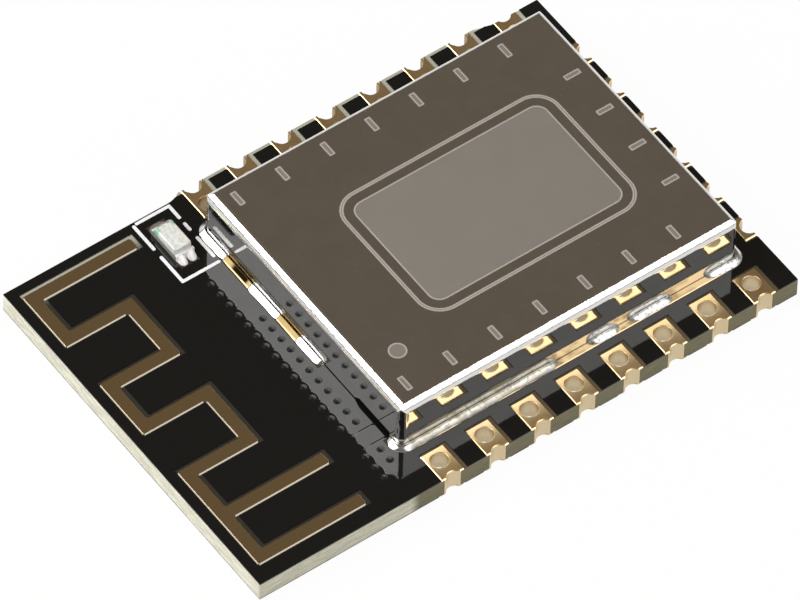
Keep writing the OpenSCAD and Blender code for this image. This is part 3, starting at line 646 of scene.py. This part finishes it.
def lens_finish(c):
    """Milky resin, clouded over its die, with green marks at its rear corners and brown behind it."""
    warm_resin = (0.84, 0.76, 0.64)
    shadow = (0.10, 0.09, 0.07)
    brown = (0.17, 0.13, 0.10)
    depth = 0.2 * MM
    f = Finish("lamp_resin", ior=1.5, subsurface_weight=0.15, coat_weight=0.5)
    f.set(subsurface_radius=(depth, depth, depth))
    middle = (LENS_LOW + LENS_HIGH) / 2 / MM
    half = (LENS_HIGH - LENS_LOW) / 2 / MM
    x = f.x - middle[0]
    y = f.y - middle[1]
    cloud = f.noise(0.16, 2.0)
    warm = x.ramp(0.0, half[0])
    corner = y.ramp(half[1] - 0.42, half[1] - 0.22) * abs(x).ramp(half[0] - 0.22, half[0] - 0.04)
    corner = corner * y.ramp(half[1] - 0.02, half[1] - 0.10)
    rear = (y + 0.12 * cloud).ramp(half[1] - 0.10, half[1] - 0.01)
    rear = rear * abs(x).ramp(half[0] - 0.05, half[0] - 0.2)
    low = f.z.ramp(LENS_LOW[2] / MM + 0.25, LENS_LOW[2] / MM + 0.05)
    body = f.blend(cloud.ramp(0.35, 0.65), c.resin, scaled(c.resin, 0.80))
    body = f.blend(warm * 0.5, body, warm_resin)
    body = f.blend(corner * 0.95, body, c.green)
    body = f.blend(low * 0.15, body, shadow)
    f.set(base_color=f.blend(rear * 0.8, body, brown))
    f.set(roughness=0.18 + 0.12 * cloud)
    return f.bump(0.006 * cloud).material


def plain_finish(name, rgb, roughness, metallic=0.0):
    """Even finish with a soft mottle of tone, gloss and height, for the small parts."""
    f = Finish(name, metallic=metallic, ior=1.5)
    mottle = f.noise(0.12, 3.0)
    f.set(base_color=f.blend(mottle.ramp(0.25, 0.75), scaled(rgb, 0.85), rgb))
    f.set(roughness=roughness - 0.06 + 0.12 * mottle)
    return f.bump(0.004 * mottle).material


def make_finishes(c, s):
    """One material for each of the record's slots, and those for single pieces."""
    return {
        "laminate": laminate_finish(c),
        "solder_mask": mask_finish(c, s),
        "gold_plating": gold_finish(c),
        "stained_and_shaded_land": land_finish(c),
        "mounded_mask": mound_finish(c),
        "flux_with_painted_shade": flux_finish(),
        "shield_metal": can_finish(c),
        "solder": solder_finish(c),
        "lamp_resin": lens_finish(c),
        "legend_ink": ink_finish(c),
        "lamp_substrate": plain_finish("lamp_substrate", (0.24, 0.24, 0.21), 0.5),
        "chip_resin": plain_finish("moulded_resin", (0.022, 0.022, 0.024), 0.55),
        "tin_plating": plain_finish("matte_tin", (0.74, 0.74, 0.73), 0.35, 1.0),
        "brown_ceramic": plain_finish("brown_ceramic", (0.42, 0.31, 0.20), 0.5),
        "white_ceramic": plain_finish("white_ceramic", (0.80, 0.80, 0.78), 0.45),
    }


FINISHES = {}
OWN_FINISH = {"shield_land": "stained_and_shaded_land", "lamp_terminals": "solder", "lamp_lands": "solder"}


class RADIO_MODULE_OT_dress_solids(bpy.types.Operator):
    """Gives every solid the material of its slot"""
    bl_idname = "radio_module.dress_solids"
    bl_label = "Dress Solids"

    def execute(self, context):
        FINISHES.update(make_finishes(context.scene.module_colours, context.scene.module_sizes))
        for part in frame["record"]["subparts"]:
            mesh = frame["nodes"][part["node"]].data
            mesh.materials.clear()
            mesh.materials.append(FINISHES[OWN_FINISH.get(part["node"], part["material_slot"])])
        return {"FINISHED"}


def plated_land(hole, outline, drill, edge):
    """Closed rings of a plated pad, each a set of plan points at a height. They run up the outer edge of
    the top land, in over its rounded rim, down the lining of the hole, out under the bottom land and back
    between the lands along the drilled wall. A rim's points lie edge (1 - cos a) along the way from one
    outline to the other, and its flat starts at 1.3 edge."""
    way = outline - hole
    way /= np.linalg.norm(way, axis=1)[:, None]
    turn = np.linspace(0.0, pi / 2, 4)
    rise = edge * np.sin(turn)
    back = edge * (1 - np.cos(turn))
    upper_out = [raised(outline - way * d, TOP - edge + h) for d, h in zip(back, rise)]
    upper_in = [raised(hole + way * d, TOP - edge + h) for d, h in zip(back, rise)]
    flat = 1.3 * edge
    rings = [raised(outline, TOP - LAYER), *upper_out, raised(outline - way * flat, TOP),
             raised(hole + way * flat, TOP), *upper_in[::-1], raised(hole, TOP - 2 * edge),
             raised(hole, 0.5 * edge), raised(hole + way * 0.5 * edge, 0.0),
             raised(outline, 0.0), raised(outline, LAYER), raised(drill, LAYER), raised(drill, TOP - LAYER)]
    return np.stack(rings)


def sloped(rings, slope):
    """Leans the outer edge of a pad's top land, its first six rings, in on the sides that face the antenna
    end and the near side. With f the share of the land's height, x moves by
    slope f (1 - 3 (x - low) / width), where that is above nought, and y alike."""
    upper = rings[:6].copy()
    rise = (upper[..., 2] - TOP + LAYER) / LAYER
    for axis in (0, 1):
        low = rings[..., axis].min()
        width = rings[..., axis].max() - low
        upper[..., axis] += slope * rise * np.maximum(1 - 3 * (upper[..., axis] - low) / width, 0.0)
    return np.concatenate([upper, rings[6:]])


def notch_angle(radius, offset, outer):
    """Angle from straight inwards at which a half-hole's circle meets the board's edge:
    cos a = (offset - outer) / r."""
    return acos(max(-1.0, min(1.0, (offset - outer) / radius)))


def side_pad(width, inner, outer, s):
    """Plan of a side pad about its hole, in its own axes (across, out of the board): for each direction,
    the hole, the drilled wall, and the nearer of the land's rectangle and the half-hole's circle
    t = b - sqrt(b^2 - c^2 + r^2), where b is the circle's middle along the direction and c its distance."""
    tiny = 1e-12
    directions = 72
    corners = np.array([[width / 2, outer], [-width / 2, outer], [-width / 2, -inner], [width / 2, -inner]])
    corners[:, 1] += s.hole_in
    gap = s.side_notch_out + s.hole_in
    turn = notch_angle(s.hole_radius, s.side_notch_out, outer)
    brink = np.array([[sin(k) * s.hole_radius, gap - cos(k) * s.hole_radius] for k in (-turn, turn)])
    special = np.concatenate([corners, brink])
    angles = np.unique(np.concatenate([np.linspace(-pi, pi, directions, endpoint=False),
                                       np.arctan2(special[:, 1], special[:, 0])]))
    way = np.stack([np.cos(angles), np.sin(angles)], axis=1)
    across = (width / 2) / np.maximum(np.abs(way[:, 0]), tiny)
    ahead = np.where(way[:, 1] > 0, outer + s.hole_in, inner - s.hole_in)
    reach = np.minimum(across, ahead / np.maximum(np.abs(way[:, 1]), tiny))
    along = way[:, 1] * gap
    inside = along ** 2 - gap ** 2 + s.hole_radius ** 2
    bite = np.where((inside > 0) & (along > 0), along - np.sqrt(np.maximum(inside, 0.0)), np.inf)
    reach = np.minimum(reach, bite)
    shift = np.array([0.0, -s.hole_in])
    return (way * s.hole_radius + shift, way * reach[:, None] + shift,
            way * (s.hole_radius + s.plating) + shift)


def half_lining(offset, outer, s):
    """Lining of a half-hole between the two lands: a thin wall carried along the arc from edge to edge."""
    share = np.linspace(-1.0, 1.0, 17)
    rows = []
    for radius, height in ((s.hole_radius, LAYER), (s.hole_radius, TOP - LAYER),
                           (s.hole_radius + s.plating, TOP - LAYER), (s.hole_radius + s.plating, LAYER)):
        a = share * notch_angle(radius, offset, outer)
        plan = np.stack([radius * np.sin(a), offset - radius * np.cos(a)], axis=1)
        rows.append(raised(plan, height))
    return np.stack(rows)


def end_pad(width, inner, s):
    """Plan of an end pad in its own axes: its half-hole's arc, the land's three sides at the same shares of
    the way, and the drilled wall."""
    share = np.linspace(-1.0, 1.0, 33)
    plans = []
    for radius in (s.hole_radius, s.hole_radius + s.plating):
        a = share * notch_angle(radius, s.end_notch_out, 0.0)
        plans.append(np.stack([radius * np.sin(a), s.end_notch_out - radius * np.cos(a)], axis=1))
    corners = np.array([[-width / 2, 0.0], [-width / 2, -inner], [width / 2, -inner], [width / 2, 0.0]])
    run = np.array([0.0, 0.3, 0.7, 1.0])
    u = (share + 1) / 2
    outline = np.stack([np.interp(u, run, corners[:, 0]), np.interp(u, run, corners[:, 1])], axis=1)
    return plans[0], outline, plans[1]


def placed(grid, middle, out):
    """Grid in a pad's own axes carried to its place: out is the way out of the board in plan."""
    across = np.array([out[1], -out[0]])
    plan = np.array(middle) + grid[..., :1] * across + grid[..., 1:2] * np.array(out)
    return np.concatenate([plan, grid[..., 2:]], axis=-1)


class RADIO_MODULE_OT_edge_pads(bpy.types.Operator):
    """Builds the plated pads with their rounded rims, lined holes and lined half-holes"""
    bl_idname = "radio_module.edge_pads"
    bl_label = "Edge Pads"

    def execute(self, context):
        s = context.scene.module_sizes
        for row, out, edge in ((NEAR_PADS, (0, -1), EDGE), (REAR_PADS, (0, 1), EDGE),
                               (FAR_PADS, (1, 0), MASK_HIGH[0])):
            for node in row:
                low, high = node_box(node)
                axis = 0 if out[0] else 1
                ends = sorted((low[axis] * out[axis], high[axis] * out[axis]))
                width = (high - low)[1 - axis]
                middle = (low + high)[:2] / 2
                middle[axis] = edge * out[axis]
                inner = edge - ends[0]
                outer = ends[1] - edge
                shell = Shell()
                if row is FAR_PADS:
                    hole, outline, drill = end_pad(width, inner, s)
                    rings = plated_land(hole, outline, drill, s.pad_edge)
                    shell.add(sloped(placed(rings, middle, out), s.pad_slope), wrap_rows=True)
                else:
                    hole, outline, drill = side_pad(width, inner, outer, s)
                    rings = plated_land(hole, outline, drill, s.pad_edge)
                    shell.add(sloped(placed(rings, middle, out), s.pad_slope), wrap_rows=True, wrap_cols=True)
                    lining = half_lining(s.side_notch_out, outer, s)
                    shell.add(placed(lining, middle, out), wrap_rows=True)
                finish_piece("plated_" + node, shell, FINISHES["gold_plating"], [node])
        return {"FINISHED"}


def meander_outline(s):
    """Corners of the antenna, walked down its outer side from the tip and back up its inner side."""
    w = s.trace_width
    top = EDGE - s.tip_inset
    turns = [s.outer_pitch, s.inner_pitch]
    arm = top - np.cumsum([0.0, *turns, *turns, s.outer_pitch, s.outer_pitch])
    up = arm + w / 2
    low = arm - w / 2
    x0 = TRACE_LOW[0]
    x1 = x0 + w
    x3 = x0 + s.meander_length
    x2 = x3 - w
    tip = TRACE_HIGH[0]
    return np.array([
        (tip, up[0]), (x0, up[0]), (x0, low[1]), (x2, low[1]), (x2, up[2]), (x0, up[2]), (x0, low[3]),
        (x2, low[3]), (x2, up[4]), (x0, up[4]), (x0, low[6]), (tip, low[6]), (tip, up[6]), (x1, up[6]),
        (x1, low[5]), (tip, low[5]), (tip, up[5]), (x1, up[5]), (x1, low[4]), (x3, low[4]), (x3, up[3]),
        (x1, up[3]), (x1, low[2]), (x3, low[2]), (x3, up[1]), (x1, up[1]), (x1, low[0]), (tip, low[0]),
    ])


class RADIO_MODULE_OT_antenna(bpy.types.Operator):
    """Builds the antenna's trace with etched, sloping edges"""
    bl_idname = "radio_module.antenna"
    bl_label = "Antenna"

    def execute(self, context):
        s = context.scene.module_sizes
        outline = rounded_outline(meander_outline(s), s.trace_corner)
        normal, before = side_normals(outline)
        facing = np.maximum((normal + before) / 2, 0.0) * np.array([s.slope_x, s.slope_y])
        slab = rounded_slab(outline, TOP - LAYER, TOP, 0.4 * s.pad_edge, 4, facing.max(axis=1))
        finish_piece("meander_antenna", Shell().add(slab, wrap_cols=True), FINISHES["gold_plating"],
                     ["antenna_trace"])
        return {"FINISHED"}


class RADIO_MODULE_OT_via_mounds(bpy.types.Operator):
    """Builds the low mound that the mask makes over each stitching via"""
    bl_idname = "radio_module.via_mounds"
    bl_label = "Via Mounds"

    def execute(self, context):
        s = context.scene.module_sizes
        turn = np.linspace(0.0, 2 * pi, 20, endpoint=False)
        share = np.array([0.12, 0.28, 0.44, 0.60, 0.76, 0.90, 1.0])
        high = 0.19 * s.via_radius
        height = high * (1 + np.cos(pi * share)) / 2
        ring = np.stack([np.cos(turn), np.sin(turn)], axis=1)
        mound = np.stack([raised(ring * r, TOP + h) for r, h in zip(s.via_radius * share, height)])
        # Each run has its row from the can, the place of its first via in millimetres, and its count.
        runs = ((1, VIA_START, 15), (1, -5.53, 3), (0, 1.69, 11), (0, -5.57, 2))
        shell = Shell()
        for row, first, count in runs:
            x = CAN_LOW[0] - s.via_row_gap - row * s.via_row_pitch
            for y in first * MM - s.via_pitch * np.arange(count):
                shell.add(mound + np.array([x, y, 0.0]), wrap_cols=True)
        finish_piece("via_mounds", shell, FINISHES["mounded_mask"])
        return {"FINISHED"}


CORNER_STEPS = 9
SUPPORT = 0.03 * MM
MITRE = 3.4
LEAST_CORNER = 0.02 * MM


def wall_ring(half, corner, inset, notch_y):
    """Plan of the can's wall moved in by inset, from the near corner of the antenna side: four quarter arcs
    of radius corner - MITRE inset, so that the bends meet in a mitre, each followed by a straight side with
    a point close to either end. The last side, which faces the antenna, also has the points notch_y."""
    h = half - inset
    r = max(corner - MITRE * inset, LEAST_CORNER)
    middles = np.array([(-1, -1), (1, -1), (1, 1), (-1, 1)]) * (h - r)
    points = []
    for k in range(4):
        turn = pi + k * pi / 2
        ahead = np.array([cos(turn + pi), sin(turn + pi)])
        start = middles[k] + r * np.array([cos(turn + pi / 2), sin(turn + pi / 2)])
        end = middles[(k + 1) % 4] + r * np.array([cos(turn + pi / 2), sin(turn + pi / 2)])
        points.append(arc(middles[k], r, turn, turn + pi / 2, CORNER_STEPS))
        points.append([start + SUPPORT * ahead])
        if k == 3:
            points.append(np.stack([np.full(len(notch_y), -h[0]), notch_y], axis=1))
        points.append([end - SUPPORT * ahead])
    return np.concatenate(points)


class RADIO_MODULE_OT_shield_can(bpy.types.Operator):
    """Builds the drawn can: its section is carried round the wall's plan, with the feed gap in its foot"""
    bl_idname = "radio_module.shield_can"
    bl_label = "Shield Can"

    def execute(self, context):
        s = context.scene.module_sizes
        middle = (CAN_LOW + CAN_HIGH)[:2] / 2
        half = (CAN_HIGH - CAN_LOW)[:2] / 2
        gap_low = s.feed_inset - half[1]
        gap_high = gap_low + s.feed_width
        relief_high = gap_high + s.relief_width
        tiny = 0.002 * MM
        notch_y = np.repeat([relief_high, gap_high, gap_low], 2)
        notch_y += np.repeat([tiny, s.feed_blend / 2, tiny], 2) * np.tile([1, -1], 3)
        steps = np.repeat([s.relief_height, s.feed_height], 2)
        notch_z = np.concatenate([[s.foot_gap], steps, [s.foot_gap]])
        foot = np.full(len(wall_ring(half, s.can_corner, 0.0, notch_y)), s.foot_gap)
        foot[-1 - len(notch_z):-1] = notch_z
        turn = np.linspace(0.0, pi / 2, 10)
        high = CAN_HIGH[2]
        ceiling = high - s.can_sheet
        least_bend = 0.05 * MM
        inner_bend = max(s.can_bend - s.can_sheet, least_bend)
        section = [(s.can_sheet + inner_bend + SUPPORT, ceiling)]
        section += [(s.can_sheet + inner_bend * (1 - cos(a)), ceiling - inner_bend + inner_bend * sin(a))
                    for a in turn[::-3]]
        section += [(s.can_sheet, TOP + foot), (0.0, TOP + foot), (0.0, high - s.can_bend - SUPPORT)]
        section += [(s.can_bend * (1 - cos(a)), high - s.can_bend + s.can_bend * sin(a)) for a in turn]
        section += [(s.can_bend + SUPPORT, high)]
        rings = [raised(wall_ring(half, s.can_corner, inset, notch_y) + middle, z) for inset, z in section]
        shell = Shell().add(np.stack(rings), wrap_cols=True)
        finish_piece("drawn_shield_can", shell, FINISHES["shield_metal"], ["shield_can"])
        return {"FINISHED"}


def wall_walk(u, half, corner):
    """Place on the can's wall and the way out of it, at a distance u round the wall from the start of the
    near corner on the antenna side, by quarter arcs and straight sides in turn."""
    h = half - corner
    middles = np.array([(-1, -1), (1, -1), (1, 1), (-1, 1)]) * h
    bend = corner * pi / 2
    sides = [2 * h[0], 2 * h[1], 2 * h[0], 2 * h[1]]
    place = np.zeros(u.shape + (2,))
    out = np.zeros(u.shape + (2,))
    start = 0.0
    for k in range(4):
        turn = np.where(u < start + bend, (u - start) / corner, pi / 2) + pi + k * pi / 2
        way = np.stack([np.cos(turn), np.sin(turn)], axis=-1)
        run = np.maximum(u - start - bend, 0.0)
        ahead = np.array([cos(k * pi / 2), sin(k * pi / 2)])
        here = (u >= start) & (u <= start + bend + sides[k])
        place = np.where(here[..., None], middles[k] + corner * way + run[..., None] * ahead, place)
        out = np.where(here[..., None], way, out)
        start += bend + sides[k]
    return place, out


def waver(u, seed):
    """Slow wander between -1 and 1 along a bead: a sum of sines of unlike lengths."""
    v = u / MM
    slow = np.sin(2.1 * v + seed)
    quick = 0.7 * np.sin(4.7 * v + 2.3 * seed)
    quickest = 0.4 * np.sin(9.1 * v + 4.1 * seed)
    return (slow + quick + quickest) / 2.1


# Section of a bead: distances out from the wall as shares of its width, and heights as shares of its
# ridge's. The second set of heights runs to the ridge in a straight slope.
BEAD_OUT = np.array([0.0, 1.0, 0.99, 0.95, 0.86, 0.72, 0.58, 0.44, 0.33, 0.25, 0.19, 0.10, 0.0])
BEAD_ROUND = np.array([0.0, 0.0, 0.06, 0.15, 0.31, 0.52, 0.71, 0.87, 0.96, 1.0, 0.985, 0.86, 0.66])
BEAD_STRAIGHT = np.where(BEAD_OUT > 0.22, (1 - BEAD_OUT) / 0.75, 0.35 + 3.2 * BEAD_OUT) * (BEAD_ROUND > 0)


def bead(start, end, round_start, round_end, half, corner, toe, taper, rise, straight):
    """Bead of solder between two places on the wall. Its section swells from its toe to a ridge and dips to
    the wall; toe is its width at each step along, which wanders a little and is drawn in over a taper, like
    half an ellipse, at a round end, and rise is its height as a share of its width. Its heights go from the
    round section's to the straight one's as straight goes from 0 to 1."""
    least = 0.08
    steps = len(toe)
    u = np.linspace(start, end, steps)
    left = (u - start) / taper if round_start else np.ones(steps)
    right = (end - u) / taper if round_end else np.ones(steps)
    near_end = np.clip(np.minimum(left, right), 0.0, 1.0)
    draw = np.maximum(np.sqrt(1 - (1 - near_end) ** 2), least)
    wide = toe * draw * (0.93 + 0.07 * waver(u, 0.4))
    tall = toe * draw * rise * (1.0 + 0.1 * waver(u, 1.9))
    above = BEAD_ROUND + straight * (BEAD_STRAIGHT - BEAD_ROUND)
    place, out = wall_walk(u, half, corner)
    plan = place[:, None] + out[:, None] * (wide[:, None] * BEAD_OUT)[..., None]
    return raised(plan, TOP + tall[:, None] * above)


class RADIO_MODULE_OT_solder(bpy.types.Operator):
    """Builds the beads of solder along the can's walls and the flux between those on the antenna side"""
    bl_idname = "radio_module.solder"
    bl_label = "Solder"

    def execute(self, context):
        s = context.scene.module_sizes
        half = (CAN_HIGH - CAN_LOW)[:2] / 2
        middle = (CAN_LOW + CAN_HIGH)[:2] / 2
        size = 2 * half
        corner = s.can_corner
        land_stop = 1 - (s.feed_inset + s.feed_width + s.relief_width) / size[1]
        gap_end = 1 - s.feed_inset / size[1]
        # Each wall has its node, length, toe, rise, straightness, and its beads' ends as shares of it.
        walls = (
            ("near_solder", size[0], s.wide_toe, 0.5, 0, ((0, 0.462), (0.55, 0.643), (0.672, 0.8), (0.9, 1))),
            ("far_solder", size[1], s.wide_toe, 0.5, 0, ((0, 0.2), (0.34, 0.62), (0.8, 0.96))),
            ("rear_solder", size[0], s.narrow_toe, 0.5, 0, ((0, 0.18), (0.3, 0.52), (0.62, 0.78), (0.86, 1))),
            ("antenna_side_solder", size[1], 0.95 * s.narrow_toe, 0.60, 1,
             ((0, 0.228 * land_stop), (0.39 * land_stop, 0.669 * land_stop), (0.78 * land_stop, land_stop),
              (gap_end, 1))),
        )
        shift = np.array([*middle, 0.0])
        film_share = 0.93
        film_steps = 40
        start = 0.0
        bend = corner * pi / 2
        last_toe = s.narrow_toe
        for node, wall, toe, rise, straight, spans in walls:
            shell = Shell()
            side = start + bend - corner
            for a, b in spans:
                first = side + a * wall if a > 0 else start
                last = side + (b * wall if b < 1 else wall - corner)
                u = np.linspace(first, last, int((last - first) / (0.04 * MM)) + 8)
                turned = np.clip((u - start) / bend, 0.0, 1.0)
                width = last_toe + (toe - last_toe) * turned ** 2 * (3 - 2 * turned)
                grid = bead(first, last, a > 0, b < 1, half, corner, width, 1.6 * width.max(), rise, straight)
                shell.add(grid + shift, wrap_cols=True)
            finish_piece(node + "_beads", shell, FINISHES["solder"], [node], 70.0)
            if node == "antenna_side_solder":
                shell = Shell()
                width = np.full(film_steps, film_share * toe)
                for a, b in zip(spans[:2], spans[1:3]):
                    first = side + a[1] * wall - toe
                    last = side + b[0] * wall + toe
                    grid = bead(first, last, True, True, half, corner, width, 0.5 * toe, film_share * rise,
                                straight)
                    shell.add(grid + shift, wrap_cols=True)
                finish_piece("flux_films", shell, FINISHES["flux_with_painted_shade"], (), 70.0)
            start += bend + wall - 2 * corner
            last_toe = toe
        return {"FINISHED"}


class RADIO_MODULE_OT_lamp(bpy.types.Operator):
    """Builds the lamp's moulded lens and the solder at its two ends"""
    bl_idname = "radio_module.lamp"
    bl_label = "Lamp"

    def execute(self, context):
        low = LENS_LOW
        high = LENS_HIGH
        corners = np.array([(low[0], low[1]), (high[0], low[1]), (high[0], high[1]), (low[0], high[1])])
        corner = 0.12 * MM
        edge = 0.06 * MM
        draft = 0.02 * MM
        slab = rounded_slab(rounded_outline(corners, corner, 6), low[2], high[2], edge, 6, draft)
        finish_piece("moulded_lens", Shell().add(slab, wrap_cols=True), FINISHES["lamp_resin"],
                     ["lamp_lens"])
        top = node_box("lamp_solder")[1][2]
        land_low, land_high = node_box("lamp_lands")
        width = land_high[0] - land_low[0]
        middle = (land_low + land_high) / 2
        across = np.linspace(-1.0, 1.0, 25)[:, None]
        draw = np.maximum(np.sqrt(1 - np.abs(across) ** 3), 0.1)
        reach = np.array([0.0, 1.0, 0.98, 0.92, 0.80, 0.60, 0.40, 0.20, 0.0])
        above = np.array([0.0, 0.0, 0.08, 0.18, 0.32, 0.52, 0.71, 0.88, 1.0])
        # Each drop of solder has its side, its middle and half width as shares of the land's, and its
        # height.
        drops = ((1, 0.0, 1.0, 0.45), (-1, -0.5, 0.47, 0.95), (-1, 0.5, 0.50, 1.0))
        shell = Shell()
        for side, place, share, level in drops:
            end = LAMP_HIGH[1] if side > 0 else LAMP_LOW[1]
            toe = abs((land_high[1] if side > 0 else land_low[1]) - end)
            x = middle[0] + (place + share * across) * width / 2
            y = end + side * toe * draw * reach
            z = TOP + level * (top - TOP) * draw * above
            shell.add(np.stack(np.broadcast_arrays(x, y, z), axis=-1), wrap_cols=True)
        finish_piece("lamp_fillets", shell, FINISHES["solder"], ["lamp_solder"], 70.0)
        return {"FINISHED"}


def backdrop_material(name, rgb):
    """Material that is a plain pale tone to the camera and to reflections, and a matte one to the other
    light."""
    glow_share = 0.95
    matte_share = 0.8
    material = bpy.data.materials.new(name)
    material.use_nodes = True
    n = Nodes(material.node_tree)
    camera, glossy = (n.node("ShaderNodeLightPath", output=f"Is {ray} Ray") for ray in ("Camera", "Glossy"))
    matte = n.node("ShaderNodeBsdfDiffuse", {}, {"Color": opaque(scaled(rgb, matte_share))})
    glow = n.node("ShaderNodeEmission", {}, {"Color": opaque(rgb)})
    seen = n.node("ShaderNodeMixShader", {}, [camera.most(glossy) * glow_share, matte, glow])
    n.node("ShaderNodeOutputMaterial", {}, {"Surface": seen})
    return material


def softbox(name, way, size, radiance):
    """Rectangular area lamp that faces the module; a radiance of 1 shows as white in a mirror."""
    distance = 0.5
    lamp = bpy.data.lights.new(name, "AREA")
    lamp.shape = "RECTANGLE"
    lamp.size = size[0]
    lamp.size_y = size[1]
    lamp.energy = radiance * pi * size[0] * size[1]
    holder = bpy.data.objects.new(name, lamp)
    way = Vector(way).normalized()
    holder.location = way * distance
    holder.rotation_euler = way.to_track_quat("Z", "Y").to_euler()
    bpy.context.scene.collection.objects.link(holder)


def studio_world(stage):
    """Sky of the studio: a pale sweep near the horizon that goes over to the dark side overhead."""
    sweep_share = 0.8
    sweep_end = sin(radians(4))
    dark_start = sin(radians(18))
    world = bpy.data.worlds.new("studio")
    world.use_nodes = True
    n = Nodes(world.node_tree)
    way = n.node("ShaderNodeTexCoord", output="Generated")
    rise = n.node("ShaderNodeSeparateXYZ", {}, [way], "Z").ramp(sweep_end, dark_start)
    sky = n.blend(rise, scaled(stage.backdrop, sweep_share), stage.dark)
    n.node("ShaderNodeOutputWorld", {}, {"Surface": n.node("ShaderNodeBackground", {}, {"Color": sky})})
    return world


class RADIO_MODULE_OT_stage(bpy.types.Operator):
    """Builds the floor, the softboxes, the studio's sky and the camera"""
    bl_idname = "radio_module.stage"
    bl_label = "Stage"

    def execute(self, context):
        scene = context.scene
        stage = scene.module_stage
        scene.view_settings.view_transform = "Standard"
        scene.world = studio_world(stage)
        reach = np.linspace(-1.0, 1.0, 3)
        plan = np.stack(np.meshgrid(reach, reach, indexing="ij"), axis=-1)
        below = 0.02 * MM
        grid = raised(plan, -below).reshape(-1, 3)
        mesh = bpy.data.meshes.new("floor")
        mesh.from_pydata(grid.tolist(), [], [f[::-1] for f in grid_faces(3, 3, False, False)])
        mesh.update()
        mesh.materials.append(backdrop_material("white_floor", stage.backdrop))
        floor = bpy.data.objects.new("floor", mesh)
        scene.collection.objects.link(floor)
        softbox("left_softbox", (-0.62, 0.42, 0.66), (0.55, 0.45), stage.left_light)
        softbox("right_softbox", (0.36, -0.66, 0.66), (0.5, 0.5), stage.right_light)
        az = stage.azimuth
        el = stage.elevation
        right = Vector((cos(az), sin(az), 0.0))
        back = Vector((sin(az) * cos(el), -cos(az) * cos(el), sin(el)))
        up = back.cross(right)
        tilted = cos(stage.roll) * right + sin(stage.roll) * up
        upright = cos(stage.roll) * up - sin(stage.roll) * right
        target = Vector((-0.389 * MM, -0.475 * MM, TOP))
        place = target + back * stage.distance
        data = bpy.data.cameras.new("camera")
        data.lens = stage.lens
        data.sensor_width = 36.0
        data.clip_start = 0.01
        data.clip_end = 10.0
        camera = bpy.data.objects.new("camera", data)
        camera.matrix_world = Matrix((
            (tilted.x, upright.x, back.x, place.x),
            (tilted.y, upright.y, back.y, place.y),
            (tilted.z, upright.z, back.z, place.z),
            (0.0, 0.0, 0.0, 1.0),
        ))
        scene.collection.objects.link(camera)
        scene.camera = camera
        return {"FINISHED"}


OPERATORS = (
    RADIO_MODULE_OT_stage,
    RADIO_MODULE_OT_dress_solids,
    RADIO_MODULE_OT_edge_pads,
    RADIO_MODULE_OT_antenna,
    RADIO_MODULE_OT_via_mounds,
    RADIO_MODULE_OT_shield_can,
    RADIO_MODULE_OT_solder,
    RADIO_MODULE_OT_lamp,
)


class RADIO_MODULE_PT_panel(bpy.types.Panel):
    """Lists the operators that build the module"""
    bl_idname = "RADIO_MODULE_PT_panel"
    bl_label = "Radio Module"
    bl_space_type = "VIEW_3D"
    bl_region_type = "UI"
    bl_category = "Module"

    def draw(self, context):
        for operator in OPERATORS:
            self.layout.operator(operator.bl_idname)


GROUPS = {"module_sizes": ModuleSizes, "module_colours": ModuleColours, "module_stage": StageSettings}
CLASSES = (*GROUPS.values(), *OPERATORS, RADIO_MODULE_PT_panel)


def register():
    for cls in CLASSES:
        bpy.utils.register_class(cls)
    for name, group in GROUPS.items():
        setattr(bpy.types.Scene, name, PointerProperty(type=group))


def unregister():
    for name in GROUPS:
        delattr(bpy.types.Scene, name)
    for cls in reversed(CLASSES):
        bpy.utils.unregister_class(cls)


def main():
    register()
    for operator in OPERATORS:
        getattr(bpy.ops.radio_module, operator.bl_idname.split(".")[1])()


if __name__ == "__main__":
    main()
